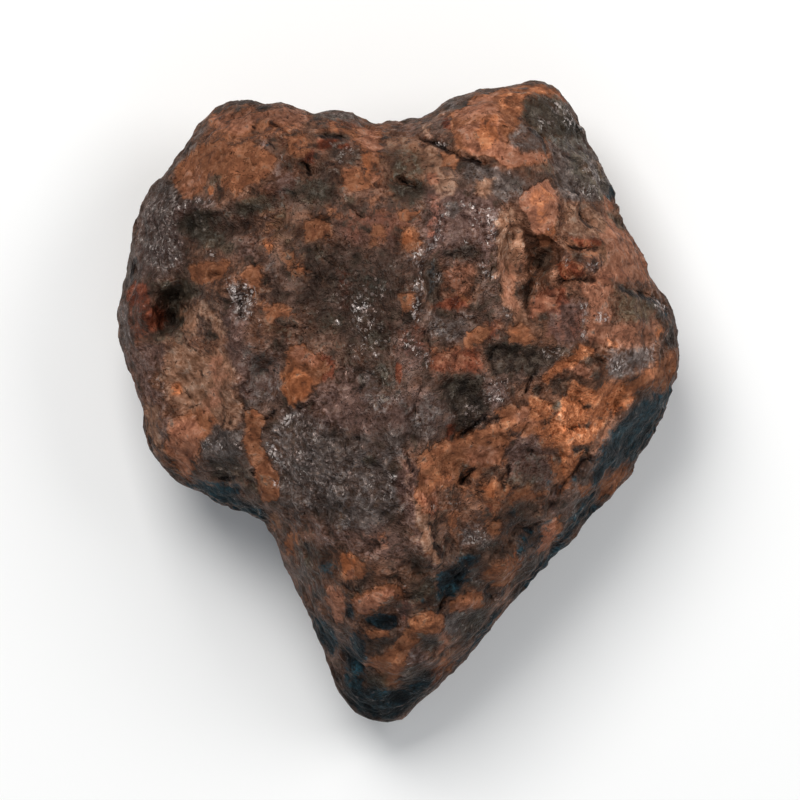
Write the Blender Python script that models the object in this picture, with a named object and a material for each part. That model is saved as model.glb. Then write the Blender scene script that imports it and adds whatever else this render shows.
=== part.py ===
"""A weathered meteorite, lying on its broad worn underside.

One natural lump, about 105 x 120 x 56 mm: a heavy rounded heart shape with a blunt narrow end, thumbprint hollows, a
deep pit on each lobe, a low spine running to the narrow end and a steep wall under its lower right shoulder.

The plan is drawn on a sheet in units of 0.1875 mm, x to the right and y down the sheet. Heights are in millimetres
above the face it rests on. The stone's +X is the sheet's right, its +Y is the sheet's top and +Z is up.
"""

import math

import bmesh
import bpy
import numpy as np

# driving dimensions
UNIT = 0.0001875                 # metres per sheet unit
SHEET_CENTRE = (398.5, 400.5)    # sheet point over the part's origin
POLE = (392.0, 352.0)            # sheet point that the skin is spread from
CUTS = 27                        # rows of facets along each side of the starting cube
UPPER_SHARE = 0.62               # share of the facets that lie above the widest line
REST_DEPTH = 0.0                 # height of the worn flat face
ROUGHNESS = 1.0                  # scale of the broken-surface relief
CROWN = 54.0                     # height in mm that the upper side is swollen towards
SWELL = 0.27                     # share of the way to it that the shoulders are swollen
SAG = 0.62                       # scale of the underside's clearance

# the widest line, seen from above, clockwise from the upper left corner
OUTLINE = [
    (176, 161), (184, 149), (192, 135), (203, 121), (215, 108), (225, 102), (242, 98), (249, 99),
    (272, 106), (291, 107), (300, 110), (310, 114), (330, 113), (352, 114), (364, 123.5), (380, 127),
    (400, 127.5), (406, 123.5), (420, 122), (431, 117.5), (438, 110), (446, 102), (466, 94), (489, 90), (493, 91),
    (507, 87.5), (523, 84.5), (537, 80), (548, 82), (555, 84.5), (562, 93), (574, 108), (584, 131), (591, 147),
    (600, 162), (607, 177), (614, 189), (614, 203), (619, 216), (625, 229), (634, 241), (643, 254), (647, 265),
    (650, 276), (658, 287), (666, 296), (674, 311), (679, 333), (678, 350), (680, 366), (677, 379),
    (674, 384), (671, 397), (663, 418), (652, 432), (650, 442), (639, 461), (630, 474), (621, 485),
    (611, 498), (600, 506), (590, 513), (578, 528), (572, 537), (564, 546), (549, 557), (539, 569),
    (533, 579), (525, 590), (517, 598), (507, 603), (497, 622), (489, 632), (481, 643), (468, 660),
    (451, 677), (434, 695), (420, 706), (409, 716.5), (401, 723), (386, 726), (372, 723.5), (355, 716),
    (345, 704), (338, 692), (334, 678), (327, 659), (319, 643), (313, 626), (307, 611), (300, 597),
    (293, 582), (284, 560), (276, 540), (264, 523), (251, 516), (238, 507), (222, 502), (207, 493),
    (192, 489), (176, 481), (163, 468), (148, 449), (144, 426), (146, 413), (141, 395), (132, 372),
    (126, 355), (120, 330), (116.5, 312), (119, 300), (123, 280), (130, 245), (134, 228), (140, 204),
    (150, 186), (163, 174),
]

# along the widest line: x, y, its height, how square the shoulder above it is, how square the one below it is
RIM = [
    (176, 161, 22.0, 3.2, 2.8), (215, 108, 21.5, 3.4, 3.2), (272, 106, 23.5, 4.2, 2.6),
    (330, 113, 26.0, 4.6, 3.0), (390, 123, 25.0, 4.0, 3.6), (446, 102, 24.0, 3.8, 3.0),
    (500, 89, 24.0, 4.2, 2.6), (550, 83, 22.5, 3.4, 2.8), (584, 131, 20.0, 3.0, 3.4),
    (614, 195, 21.5, 3.6, 3.0), (634, 241, 22.0, 4.0, 2.6), (666, 296, 20.5, 4.2, 3.0),
    (679, 340, 18.0, 4.0, 3.4), (677, 379, 14.5, 4.4, 3.4), (650, 442, 12.0, 3.4, 2.8),
    (611, 498, 12.5, 3.6, 2.6), (564, 546, 13.0, 3.6, 2.8), (507, 603, 14.0, 3.8, 3.2),
    (451, 675, 13.0, 3.4, 2.8), (401, 718, 11.0, 2.8, 2.8), (346, 701, 12.0, 3.2, 3.0),
    (313, 626, 16.0, 4.0, 2.8), (284, 560, 17.0, 3.8, 2.6), (251, 516, 16.5, 4.4, 3.0),
    (207, 493, 16.0, 4.4, 3.4), (163, 468, 18.5, 3.6, 3.0), (144, 420, 20.0, 4.4, 2.6),
    (126, 355, 19.0, 4.4, 2.8), (118, 308, 18.5, 4.2, 3.2), (130, 245, 19.0, 3.8, 3.0),
    (145, 195, 21.0, 3.6, 2.8),
]

# soundings of the upper side: x, y, height
UPPER = [
    # shoulder
    (176, 161, 33), (215, 108, 33), (249, 99, 34), (310, 114, 37), (364, 121, 38.5), (400, 123, 38.5),
    (446, 102, 38), (489, 90, 38), (537, 80, 37), (562, 96, 34), (584, 131, 32), (614, 189, 30.5),
    (625, 229, 32), (649, 274, 32), (674, 311, 31), (679, 350, 28), (676, 382, 22), (650, 440, 19),
    (621, 485, 18), (590, 512, 19), (564, 546, 20), (525, 590, 21), (497, 622, 22), (451, 675, 20),
    (413, 708, 18), (384, 720, 17), (350, 705, 18), (328, 660, 21), (313, 626, 24), (293, 582, 26),
    (264, 523, 28), (238, 507, 27), (207, 493, 27), (176, 481, 29), (148, 447, 30), (144, 424, 30),
    (132, 372, 29), (117, 312, 27.5), (123, 280, 27.5), (134, 228, 28.5), (145, 195, 30),
    # upper left face and its brow
    (230, 150, 42), (200, 185, 39.5), (262, 180, 46), (300, 150, 43.5), (285, 125, 40), (176, 200, 35.5),
    (215, 203, 43), (262, 193, 47), (310, 185, 48), (350, 178, 47.5), (240, 125, 38.5),
    # hollow under the brow, and the band below it
    (200, 228, 38), (235, 228, 41.5), (255, 215, 44), (215, 245, 39), (195, 268, 40), (225, 266, 43),
    (250, 262, 46), (150, 240, 32.5), (165, 215, 35), (160, 262, 34.5),
    # left lobe
    (175, 300, 34), (143, 312, 33.5), (128, 300, 29.5), (200, 312, 38), (220, 320, 42.5), (240, 285, 47),
    (243, 340, 46.5), (246, 380, 45.5), (248, 420, 44.5), (185, 350, 34.5), (200, 380, 34), (210, 410, 35),
    (180, 400, 31.5), (160, 380, 30.5), (150, 350, 30.5), (170, 430, 33), (200, 445, 36), (225, 450, 39.5),
    (180, 460, 32.5), (235, 475, 37), (213, 480, 33), (262, 370, 44), (265, 395, 44), (300, 385, 47),
    (325, 365, 49),
    # middle
    (300, 230, 48), (300, 280, 48.5), (300, 330, 48), (340, 250, 50), (350, 300, 50.5), (370, 350, 51.5),
    (350, 420, 53), (300, 440, 50.5), (320, 480, 51.5), (370, 470, 54.5), (400, 440, 55.5), (400, 400, 54),
    (420, 370, 53), (270, 450, 46), (265, 490, 40.5), (300, 510, 46.5), (340, 520, 50.5), (380, 520, 53),
    (370, 150, 44), (330, 140, 43), (400, 160, 45.5), (400, 200, 49), (360, 210, 50), (430, 140, 44.5),
    (440, 180, 48), (441, 207, 51), (430, 250, 53.5), (418, 290, 54.5), (414, 323, 54.5), (450, 270, 49.5),
    (455, 310, 49.5), (445, 340, 51), (485, 215, 52), (488, 250, 52.5), (488, 285, 51.5), (480, 330, 50),
    # right lobe
    (470, 120, 43), (500, 110, 43), (480, 150, 46.5), (510, 150, 47.5), (535, 100, 41.5), (500, 180, 50),
    (540, 170, 48.5), (535, 200, 51.5), (560, 130, 40.5), (580, 160, 39.5), (570, 190, 45.5),
    (595, 190, 39), (600, 215, 41), (575, 230, 48.5), (580, 265, 50), (610, 240, 44.5), (630, 260, 40),
    (640, 290, 38), (600, 290, 48), (575, 300, 50), (540, 260, 46), (530, 310, 48), (510, 330, 49.5),
    (550, 330, 48.5), (600, 330, 46), (640, 330, 40.5), (660, 350, 35.5), (540, 380, 47), (580, 370, 45.5),
    (620, 370, 42.5), (560, 420, 45.5), (600, 400, 43), (580, 450, 41.5), (540, 460, 45),
    # ridge over the lower right wall, and the wall
    (664, 374, 34), (651, 393, 35.5), (620, 405, 39.5), (604, 426, 40.5), (592, 448, 40.5), (575, 468, 40),
    (564, 483, 39.5), (552, 500, 39), (545, 520, 38), (537, 545, 34.5), (640, 430, 24), (612, 470, 25.5),
    (590, 485, 30), (600, 495, 23), (570, 520, 28), (550, 545, 25),
    # recess right of the spine
    (440, 460, 50), (470, 460, 48.5), (500, 450, 47.5), (520, 440, 47), (450, 500, 48), (480, 500, 46.5),
    (510, 500, 44), (480, 540, 43.5), (450, 540, 45.5), (510, 530, 40), (530, 500, 42),
    # spine and the narrow end
    (410, 480, 55), (425, 520, 53), (437, 550, 49.5), (405, 520, 53), (380, 560, 50), (418, 562, 48),
    (350, 560, 47.5), (320, 560, 43.5), (300, 560, 38), (285, 540, 36), (340, 600, 43.5), (325, 600, 38.5),
    (375, 600, 46), (400, 600, 46), (430, 590, 44), (450, 585, 41), (480, 575, 39.5), (500, 560, 40),
    (520, 560, 35.5), (500, 590, 32), (470, 610, 38), (440, 620, 41), (410, 630, 43), (380, 620, 42),
    (370, 650, 38.5), (345, 640, 32), (333, 645, 25), (350, 680, 26), (370, 690, 27.5), (390, 660, 39),
    (410, 660, 38.5), (440, 650, 34), (460, 640, 31), (430, 680, 27.5), (390, 690, 28.5), (400, 702, 22),
]

# soundings of the underside: x, y, height; what falls below the rest face is worn flat
UNDER = [
    (176, 161, 12), (215, 108, 10), (272, 106, 9), (330, 113, 12), (390, 123, 15), (446, 102, 12),
    (500, 89, 9), (550, 83, 11), (584, 131, 12), (614, 195, 10), (634, 241, 9), (666, 296, 11),
    (679, 340, 9), (677, 379, 5), (650, 442, 3), (611, 498, 4), (564, 546, 6), (507, 603, 7),
    (451, 675, 6), (401, 718, 6), (346, 701, 5), (313, 626, 6), (284, 560, 5), (251, 516, 4),
    (207, 493, 5), (163, 468, 8), (144, 420, 9), (126, 355, 7), (118, 308, 8), (130, 245, 9), (145, 195, 10),
    (400, 330, -2.6), (340, 280, -2.2), (460, 280, -2.2), (350, 400, -2.2), (440, 400, -1.8),
    (300, 335, -1.0), (500, 330, -0.8), (400, 225, -0.8), (400, 460, -0.8), (270, 260, 3.2), (235, 350, 4.2),
    (260, 430, 3.2), (545, 220, 3.4), (560, 310, 2.0), (560, 400, 1.6), (480, 490, 1.4), (400, 545, 2.6),
    (395, 640, 5.5), (300, 180, 3.8), (470, 160, 3.2), (205, 200, 8.5), (180, 300, 6.8), (190, 420, 6.0),
    (320, 500, 2.4), (390, 165, 6.5), (600, 440, 1.6), (625, 350, 4.6), (590, 250, 6.2), (540, 130, 6.5),
    (240, 140, 7.0),
]

# hollows of the upper side: x, y, half length, half width, turn in degrees, depth (negative is a boss), power
HOLLOWS = [
    (177, 312, 27, 35, 8, 8.0, 1.6), (182, 294, 32, 18, -4, 2.5, 1.5), (141, 313, 24, 38, 0, -2.4, 1.6),
    (519, 264, 32, 64, -6, 4.0, 1.4), (538, 266, 24, 36, 24, 4.4, 1.6), (538, 206, 26, 36, -4, -2.2, 1.5),
    (576, 266, 23, 13, 0, -2.6, 1.2), (585, 219, 14, 10, 20, 2.0, 1.2),
    (232, 468, 27, 13, -6, 3.2, 1.2), (448, 583, 19, 16, 0, 4.0, 1.1), (415, 566, 20, 13, 20, 2.0, 1.2),
    (508, 363, 28, 18, -6, 2.2, 1.2), (453, 395, 26, 24, 0, 1.4, 1.3), (382, 620, 18, 10, 4, 2.4, 1.1),
    (408, 188, 18, 11, 0, 1.6, 1.2), (448, 285, 26, 22, 0, 1.0, 1.2), (456, 276, 20, 16, 0, -1.5, 1.3),
    (242, 300, 16, 22, 0, 1.2, 1.3), (300, 384, 20, 18, -20, -1.4, 1.3), (326, 366, 14, 16, 0, -1.0, 1.3),
    (555, 384, 12, 10, 0, 1.6, 1.2), (553, 452, 11, 10, 0, 1.4, 1.2), (525, 456, 24, 20, 0, 1.2, 1.4),
    (530, 535, 20, 14, -20, 2.2, 1.2), (552, 532, 11, 22, 28, -2.2, 1.2), (500, 568, 28, 13, -10, -1.8, 1.2),
    (322, 562, 16, 13, 0, 1.6, 1.3), (350, 660, 16, 36, 12, 2.0, 1.2), (388, 668, 20, 20, 0, -1.4, 1.3),
    (292, 430, 24, 26, 0, 1.0, 1.3), (330, 155, 22, 11, 0, 1.4, 1.2), (345, 300, 30, 60, 6, 1.2, 1.3),
    (268, 232, 26, 18, -12, 0.8, 1.3), (540, 125, 24, 26, -20, 1.2, 1.4), (590, 170, 14, 20, -20, -1.0, 1.3),
    (475, 620, 14, 12, -40, 1.2, 1.2), (620, 440, 26, 12, -50, 1.6, 1.2), (216, 232, 36, 20, 6, 1.4, 1.3),
]

# broken edges: line on the sheet, half width, reach, drop on the right hand when walking it
EDGES = [
    ([(442, 200), (438, 225), (430, 250), (420, 272), (417, 300), (414, 326)], 6, 60, -2.6),
    ([(497, 205), (494, 235), (492, 262), (494, 290)], 6, 44, -1.6),
    ([(405, 446), (416, 474), (428, 500), (436, 525), (446, 566)], 6, 60, -3.0),
    ([(411, 138), (430, 144), (445, 152), (462, 162), (494, 168)], 6, 44, 1.6),
    ([(612, 283), (622, 293), (640, 297), (655, 301), (668, 313)], 6, 40, -1.6),
    ([(560, 243), (541, 242), (524, 240), (516, 225)], 6, 30, 1.2),
    ([(560, 273), (552, 262), (554, 246)], 6, 26, 2.0),
    ([(660, 386), (640, 398), (620, 406), (606, 426), (594, 449), (577, 467), (563, 484), (552, 502), (546, 522)],
     7, 46, 3.2),
    ([(250, 286), (236, 284), (215, 282), (190, 283), (160, 283)], 6, 40, 1.6),
    ([(270, 190), (240, 203), (212, 206), (180, 204)], 7, 40, 1.8),
    ([(190, 483), (215, 488), (240, 490), (262, 500)], 6, 34, -1.8),
]

# broad breaks below the widest line: heading in degrees from +X, how far it faces down in degrees, and how far it
# stands off the widest line in millimetres (negative bites into it)
BREAKS = [
    (-12, 38, 0.4), (14, 55, 1.2), (32, 30, 0.3), (58, 48, 1.0), (84, 34, 0.4), (104, 56, 1.6), (128, 36, 0.3),
    (150, 52, 1.2), (172, 33, 0.4), (196, 50, 1.0), (215, 35, 0.4), (236, 54, 1.4), (262, 40, 0.6),
    (285, 56, 1.0), (305, 36, 0.4), (322, 52, 1.4), (341, 60, 1.8),
]

# flat faces broken on the upper side: x, y, height in mm, heading in degrees from +X, tilt from level in degrees,
# reach on the sheet
FACES = [
    (222, 148, 43.2, 132, 27, 95), (575, 150, 43.0, 12, 36, 95), (185, 425, 40.3, 212, 26, 80),
    (158, 236, 39.3, 168, 36, 70), (478, 612, 39.5, -40, 36, 85), (340, 622, 38.6, 204, 44, 85),
    (335, 134, 45.2, 97, 24, 80), (646, 318, 41.0, -6, 34, 75), (478, 118, 45.2, 88, 22, 70),
    (300, 545, 41.6, 208, 36, 75), (396, 686, 33.0, -82, 40, 60), (560, 430, 46.4, -38, 20, 90),
    (628, 250, 41.8, 28, 34, 60), (238, 462, 41.8, 238, 30, 60), (625, 440, 33.0, -34, 60, 70),
    (300, 300, 49.4, 170, 8, 90), (370, 400, 54.6, 60, 3, 90), (520, 340, 50.6, 0, 12, 70),
]

# thumbprints on the walls and the underside: x, y on the sheet, height, radius, depth (all but x and y in mm)
THUMBPRINTS = [
    (150, 190, 16, 11, 1.8), (205, 120, 14, 9, 1.4), (300, 118, 17, 12, 2.2), (365, 130, 20, 8, 1.2),
    (430, 118, 16, 10, 1.8), (520, 92, 17, 9, 1.6), (580, 135, 13, 11, 2.0), (618, 215, 15, 9, 1.6),
    (650, 280, 13, 11, 2.0), (676, 350, 12, 9, 1.4), (640, 450, 7, 10, 1.6), (590, 515, 9, 9, 1.4),
    (540, 575, 8, 9, 1.6), (490, 630, 9, 10, 1.6), (430, 690, 8, 8, 1.2), (350, 700, 8, 9, 1.6),
    (318, 640, 11, 8, 1.4), (290, 580, 11, 9, 1.6), (255, 520, 11, 9, 1.4), (190, 490, 12, 11, 2.0),
    (146, 430, 15, 8, 1.4), (128, 360, 13, 10, 1.8), (120, 300, 12, 9, 1.4), (128, 240, 14, 10, 1.6),
    (220, 170, 7, 14, 2.0), (240, 260, 4, 15, 2.2), (200, 350, 6, 13, 1.8), (240, 450, 3, 13, 1.8),
    (330, 180, 3, 14, 1.8), (430, 170, 4, 12, 1.6), (520, 180, 4, 13, 1.8), (590, 220, 6, 12, 1.6),
    (610, 330, 4, 14, 2.0), (590, 430, 2, 12, 1.6), (520, 520, 3, 13, 1.8), (430, 590, 4, 13, 1.8),
    (350, 620, 5, 11, 1.6), (320, 540, 3, 11, 1.6), (400, 660, 6, 10, 1.2),
]


def smooth01(t):
    t = np.clip(t, 0.0, 1.0)
    return t * t * (3.0 - 2.0 * t)


class Sounded:
    """The smooth sheet of least bending through a list of soundings."""

    def __init__(self, points, ease=0.002):
        p = np.array(points, float)
        self.at = p[:, :2] / 100.0
        k = self.kernel(np.linalg.norm(self.at[:, None] - self.at[None], axis=2)) + ease * np.eye(len(p))
        q = np.hstack([np.ones((len(p), 1)), self.at])
        m = np.block([[k, q], [q.T, np.zeros((3, 3))]])
        self.weight = np.linalg.solve(m, np.concatenate([p[:, 2], np.zeros(3)]))

    @staticmethod
    def kernel(d):
        return d ** 1.5

    def __call__(self, x, y):
        x, y = x / 100.0, y / 100.0
        z = self.weight[-3] + self.weight[-2] * x + self.weight[-1] * y
        for (a, b), w in zip(self.at, self.weight[:-3]):
            z = z + w * self.kernel(np.hypot(x - a, y - b))
        return z


def around(theta, angles, values):
    """A value read off a closed table of angles."""
    a = np.concatenate([angles[-3:] - 2 * math.pi, angles, angles[:3] + 2 * math.pi])
    return np.interp(theta, a, np.concatenate([values[-3:], values, values[:3]]))


def heading(p):
    return np.arctan2(p[:, 1] - POLE[1], p[:, 0] - POLE[0])


def outline_table(steps=24):
    p = np.array(OUTLINE, float)
    q = np.roll(p, -1, axis=0)
    pts = np.concatenate([p * (1 - t) + q * t for t in np.linspace(0, 1, steps, endpoint=False)])
    a = heading(pts)
    order = np.argsort(a)
    return a[order], np.hypot(pts[:, 0] - POLE[0], pts[:, 1] - POLE[1])[order]


def calm_table(spread=5.0):
    """The outline without its small wiggles, which only the widest line has."""
    angles, radii = outline_table()
    even = np.linspace(-math.pi, math.pi, 721)[:-1]
    r = around(even, angles, radii)
    # the skin draws in at each notch rather than bulging over it
    r = np.minimum.reduce([np.roll(r, k) for k in range(-5, 6)])
    width = np.arange(-40, 41)
    w = np.exp(-0.5 * (width * 0.5 / spread) ** 2)
    w /= w.sum()
    return even, sum(np.roll(r, k) * a for k, a in zip(width, w))


def rim_table():
    p = np.array(RIM, float)
    a = heading(p)
    order = np.argsort(a)
    return a[order], p[order, 2:]


def profile_table(aspect, powers=np.linspace(2.0, 5.0, 25), steps=257):
    """Quarter superellipses walked at an even pace: reach and rise against the share of the way walked."""
    s = 1.0 - (1.0 - np.linspace(0, 1, 4001)) ** 3
    walk = np.linspace(0, 1, steps)
    reach, rise = [], []
    for k in powers:
        h = np.clip(1.0 - s ** k, 0, 1) ** (1.0 / k)
        run = np.concatenate([[0.0], np.cumsum(np.hypot(np.diff(s), aspect * np.diff(h)))])
        reach.append(np.interp(walk, run / run[-1], s))
        rise.append(np.interp(walk, run / run[-1], h))
    return powers, walk, np.array(reach), np.array(rise)


def read_profile(table, power, walk):
    powers, grid, reach, rise = table
    a = np.clip((power - powers[0]) / (powers[1] - powers[0]), 0, len(powers) - 1.001)
    b = np.clip(walk * (len(grid) - 1), 0, len(grid) - 1.001)
    i, j = a.astype(int), b.astype(int)
    u, v = a - i, b - j

    def blend(t):
        return ((t[i, j] * (1 - u) + t[i + 1, j] * u) * (1 - v)
                + (t[i, j + 1] * (1 - u) + t[i + 1, j + 1] * u) * v)

    return blend(reach), blend(rise)


def lattice(i, seed):
    h = (i[:, 0] * 374761393 + i[:, 1] * 668265263 + i[:, 2] * 2147483647 + seed * 1274126177) & 0xFFFFFFFF
    h = ((h ^ (h >> 13)) * 1274126177) & 0xFFFFFFFF
    h = ((h ^ (h >> 16)) * 2246822519) & 0xFFFFFFFF
    return ((h ^ (h >> 15)) & 0xFFFFFF) / float(0xFFFFFF)


def noise(p, seed=0):
    """Seeded value noise in space, -1 to 1."""
    f = np.floor(p)
    t = p - f
    t = t * t * t * (t * (t * 6 - 15) + 10)
    i = f.astype(np.int64)
    out = np.zeros(len(p))
    for c in np.ndindex(2, 2, 2):
        w = np.prod(np.where(np.array(c), t, 1 - t), axis=1)
        out += w * lattice(i + np.array(c), seed)
    return out * 2 - 1


def layered(p, scale, layers, gain=0.5, seed=0):
    q, amp, total, out = p / scale, 1.0, 0.0, np.zeros(len(p))
    for k in range(layers):
        out += amp * noise(q + 17.3 * k, seed + 7 * k)
        total += amp
        amp *= gain
        q = q * 2.03
    return out / total


def creased(p, scale, layers, gain=0.5, seed=0):
    """Layered noise with sharp crests, as broken stone has."""
    q, amp, total, out = p / scale, 1.0, 0.0, np.zeros(len(p))
    for k in range(layers):
        out += amp * (1.0 - 2.0 * np.abs(noise(q + 9.7 * k, seed + 5 * k)))
        total += amp
        amp *= gain
        q = q * 2.11
    return out / total


def bowl(x, y, cx, cy, rx, ry, turn, power):
    a = math.radians(turn)
    dx, dy = x - cx, y - cy
    u = (dx * math.cos(a) + dy * math.sin(a)) / rx
    v = (-dx * math.sin(a) + dy * math.cos(a)) / ry
    return np.clip(1.0 - u * u - v * v, 0.0, 1.0) ** power


def along_line(x, y, line):
    """Distance to a line on the sheet, the side (+1 on the right hand) and the share of the way along it."""
    best = np.full(x.shape, 1e9)
    side, share = np.zeros(x.shape), np.zeros(x.shape)
    p = np.array(line, float)
    lengths = np.hypot(*(p[1:] - p[:-1]).T)
    run = 0.0
    for a, b, n in zip(p[:-1], p[1:], lengths):
        ux, uy = (b - a) / n
        t = np.clip((x - a[0]) * ux + (y - a[1]) * uy, 0, n)
        d = np.hypot(x - a[0] - t * ux, y - a[1] - t * uy)
        near = d < best
        best = np.where(near, d, best)
        side = np.where(near, np.sign(ux * (y - a[1]) - uy * (x - a[0])), side)
        share = np.where(near, (run + t) / lengths.sum(), share)
        run += n
    return best, side, share


def edge(x, y, line, width, reach):
    d, side, share = along_line(x, y, line)
    ends = smooth01(share / 0.2) * smooth01((1 - share) / 0.2)
    return (smooth01(0.5 + d * side / (2 * width)) - 0.5) * np.clip(1.0 - d / reach, 0, 1) ** 1.5 * ends


def strayed(x, y, reach):
    """Sheet points moved a little at random, so that drawn shapes get natural outlines."""
    p = np.stack([x, y, np.zeros_like(x)], 1)
    return (x + reach * layered(p, 30, 2, 0.5, 51), y + reach * layered(p, 30, 2, 0.5, 67))


def skin(directions):
    """Where each direction of a unit ball lands on the stone: sheet x, sheet y, height in mm, the height of the
    widest line there, and the share of the rise from that line."""
    d = directions / np.linalg.norm(directions, axis=1)[:, None]
    theta = np.arctan2(-d[:, 1], d[:, 0])
    tilt = np.arccos(np.clip(d[:, 2], -1, 1))
    brink = math.acos(1 - 2 * UPPER_SHARE)
    above = tilt <= brink
    walk = np.where(above, np.sin(tilt / 2) / math.sin(brink / 2),
                    np.sin((math.pi - tilt) / 2) / math.sin((math.pi - brink) / 2))
    walk = np.clip(walk, 0, 1)
    angles, values = rim_table()
    height, upper_power, lower_power = [around(theta, angles, values[:, i]) for i in range(3)]
    reach_u, rise_u = read_profile(profile_table(0.42), upper_power, walk)
    reach_l, rise_l = read_profile(profile_table(0.30), lower_power, walk)
    reach, rise = np.where(above, reach_u, reach_l), np.where(above, rise_u, rise_l)
    calm = around(theta, *calm_table())
    radius = (calm + (around(theta, *outline_table()) - calm) * (1 - smooth01(rise / 0.7))) * reach * 0.993
    x, y = POLE[0] + radius * np.cos(theta), POLE[1] + radius * np.sin(theta)
    wx, wy = strayed(x, y, 5.0)
    top = Sounded(UPPER)(x, y)
    top += SWELL * (CROWN - top)
    for cx, cy, rx, ry, turn, depth, power in HOLLOWS:
        top -= depth * bowl(wx, wy, cx, cy, rx, ry, turn, power)
    for line, width, span, drop in EDGES:
        top -= drop * edge(wx, wy, line, width, span)
    under = Sounded(UNDER)(x, y)
    under = np.where(under > 0, SAG * under, under)
    z = height + np.where(above, (top - height) * rise, (under - height) * rise)
    return x, y, z, height, rise, above


def to_metres(x, y, z):
    return np.stack([(x - SHEET_CENTRE[0]) * UNIT, (SHEET_CENTRE[1] - y) * UNIT, z * 0.001], 1)


def broken(p, height, above):
    """Flat breaks and thumbprints on the walls and the underside."""
    angles, radii = outline_table()
    angles, radii = angles[::40], radii[::40]
    rim = to_metres(POLE[0] + radii * np.cos(angles), POLE[1] + radii * np.sin(angles),
                    around(angles, rim_table()[0], rim_table()[1][:, 0]))
    for x, y, z, head, tilt, reach in FACES:
        h, e = math.radians(head), math.radians(tilt)
        n = np.array([math.cos(h) * math.sin(e), math.sin(h) * math.sin(e), math.cos(e)])
        a = to_metres(np.array([float(x)]), np.array([float(y)]), np.array([float(z)]))[0]
        near = smooth01((1.25 * reach * UNIT - np.linalg.norm(p - a, axis=1)) / (0.5 * reach * UNIT))
        p = p - np.outer(np.where(above, near, 0.0) * np.clip((p - a) @ n, 0, None) * 0.88, n)
    for head, down, off in BREAKS:
        h, e = math.radians(head), math.radians(down)
        n = np.array([math.cos(h) * math.cos(e), math.sin(h) * math.cos(e), -math.sin(e)])
        proud = p @ n - ((rim @ n).max() + off * 0.001)
        p = p - np.outer(np.where(above, 0.0, np.clip(proud, 0, None)) * 0.9, n)
    return p


def face_normals(p, corners):
    n = np.zeros_like(p)
    q = p[corners]
    cross = np.cross(q[:, 2] - q[:, 0], q[:, 3] - q[:, 1])
    for k in range(4):
        np.add.at(n, corners[:, k], cross)
    return n / np.linalg.norm(n, axis=1)[:, None]


def relief(p, n, height, above):
    """Displacement along the surface in metres: thumbprints below the widest line, broken texture everywhere."""
    q = p / UNIT
    calm = smooth01(np.abs(p[:, 2] * 1000 - height) / 5.0)
    move = 0.0009 * creased(q, 66, 2, 0.5, 5) * (0.2 + 0.8 * calm) * np.where(above, 0.7, 1.0)
    move += 0.0012 * creased(q, 110, 2, 0.5, 15) * np.where(above, 0.2, 1.0) * calm
    move += 0.00045 * creased(q, 30, 2, 0.5, 23) * (0.5 + 0.5 * calm)
    for x, y, z, radius, depth in THUMBPRINTS:
        c = to_metres(np.array([float(x)]), np.array([float(y)]), np.array([float(z)]))[0]
        r = np.linalg.norm((p - c) / (radius * 0.001), axis=1)
        move -= np.where(above, calm, 1.0) * depth * 0.001 * smooth01(1.0 - r) * (0.3 + 0.7 * calm)
    return move * ROUGHNESS


def build():
    for o in list(bpy.data.objects):
        bpy.data.objects.remove(o, do_unlink=True)

    folder = bpy.data.collections.new("meteorite")
    bpy.context.scene.collection.children.link(folder)

    # a cube's skin, evenly cut, blown up to a ball and pressed to the stone's shape
    bm = bmesh.new()
    bmesh.ops.create_cube(bm, size=2.0)
    bmesh.ops.subdivide_edges(bm, edges=bm.edges[:], cuts=CUTS - 1, use_grid_fill=True)
    bm.verts.ensure_lookup_table()
    cube = np.array([v.co[:] for v in bm.verts])
    bent = np.tan(cube * math.pi / 4)
    corners = np.array([[v.index for v in f.verts] for f in bm.faces])
    x, y, z, height, rise, above = skin(bent)
    p = broken(to_metres(x, y, z), height, above)
    n = face_normals(p, corners)
    p = p + n * relief(p, n, height, above)[:, None]
    for v, c in zip(bm.verts, p):
        v.co = c

    bmesh.ops.smooth_vert(bm, verts=bm.verts[:], factor=0.5, use_axis_x=True, use_axis_y=True, use_axis_z=True)

    # the worn face it rests on
    bmesh.ops.triangulate(bm, faces=bm.faces[:], quad_method="SHORT_EDGE")
    cut = bmesh.ops.bisect_plane(bm, geom=bm.verts[:] + bm.edges[:] + bm.faces[:], dist=0.00002,
                                 plane_co=(0, 0, REST_DEPTH), plane_no=(0, 0, -1), clear_outer=True)
    rim = [e for e in cut["geom_cut"] if isinstance(e, bmesh.types.BMEdge)]
    bmesh.ops.edgeloop_fill(bm, edges=rim)
    bmesh.ops.dissolve_degenerate(bm, dist=0.00004, edges=bm.edges[:])
    bmesh.ops.recalc_face_normals(bm, faces=bm.faces[:])

    # origin under the middle of its outline
    co = np.array([v.co[:] for v in bm.verts])
    shift = (co.min(axis=0) + co.max(axis=0)) / 2
    for v in bm.verts:
        v.co.x -= shift[0]
        v.co.y -= shift[1]
        v.co.z -= co[:, 2].min()

    mesh = bpy.data.meshes.new("meteorite")
    bm.to_mesh(mesh)
    bm.free()
    stone = bpy.data.objects.new("meteorite", mesh)
    folder.objects.link(stone)

    crust = bpy.data.materials.new("weathered_crust")
    crust.use_nodes = True
    shader = crust.node_tree.nodes["Principled BSDF"]
    shader.inputs["Base Color"].default_value = (0.105, 0.058, 0.036, 1.0)
    shader.inputs["Roughness"].default_value = 0.62
    shader.inputs["Metallic"].default_value = 0.15
    mesh.materials.append(crust)
    return stone


build()
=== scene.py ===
import math

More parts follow.
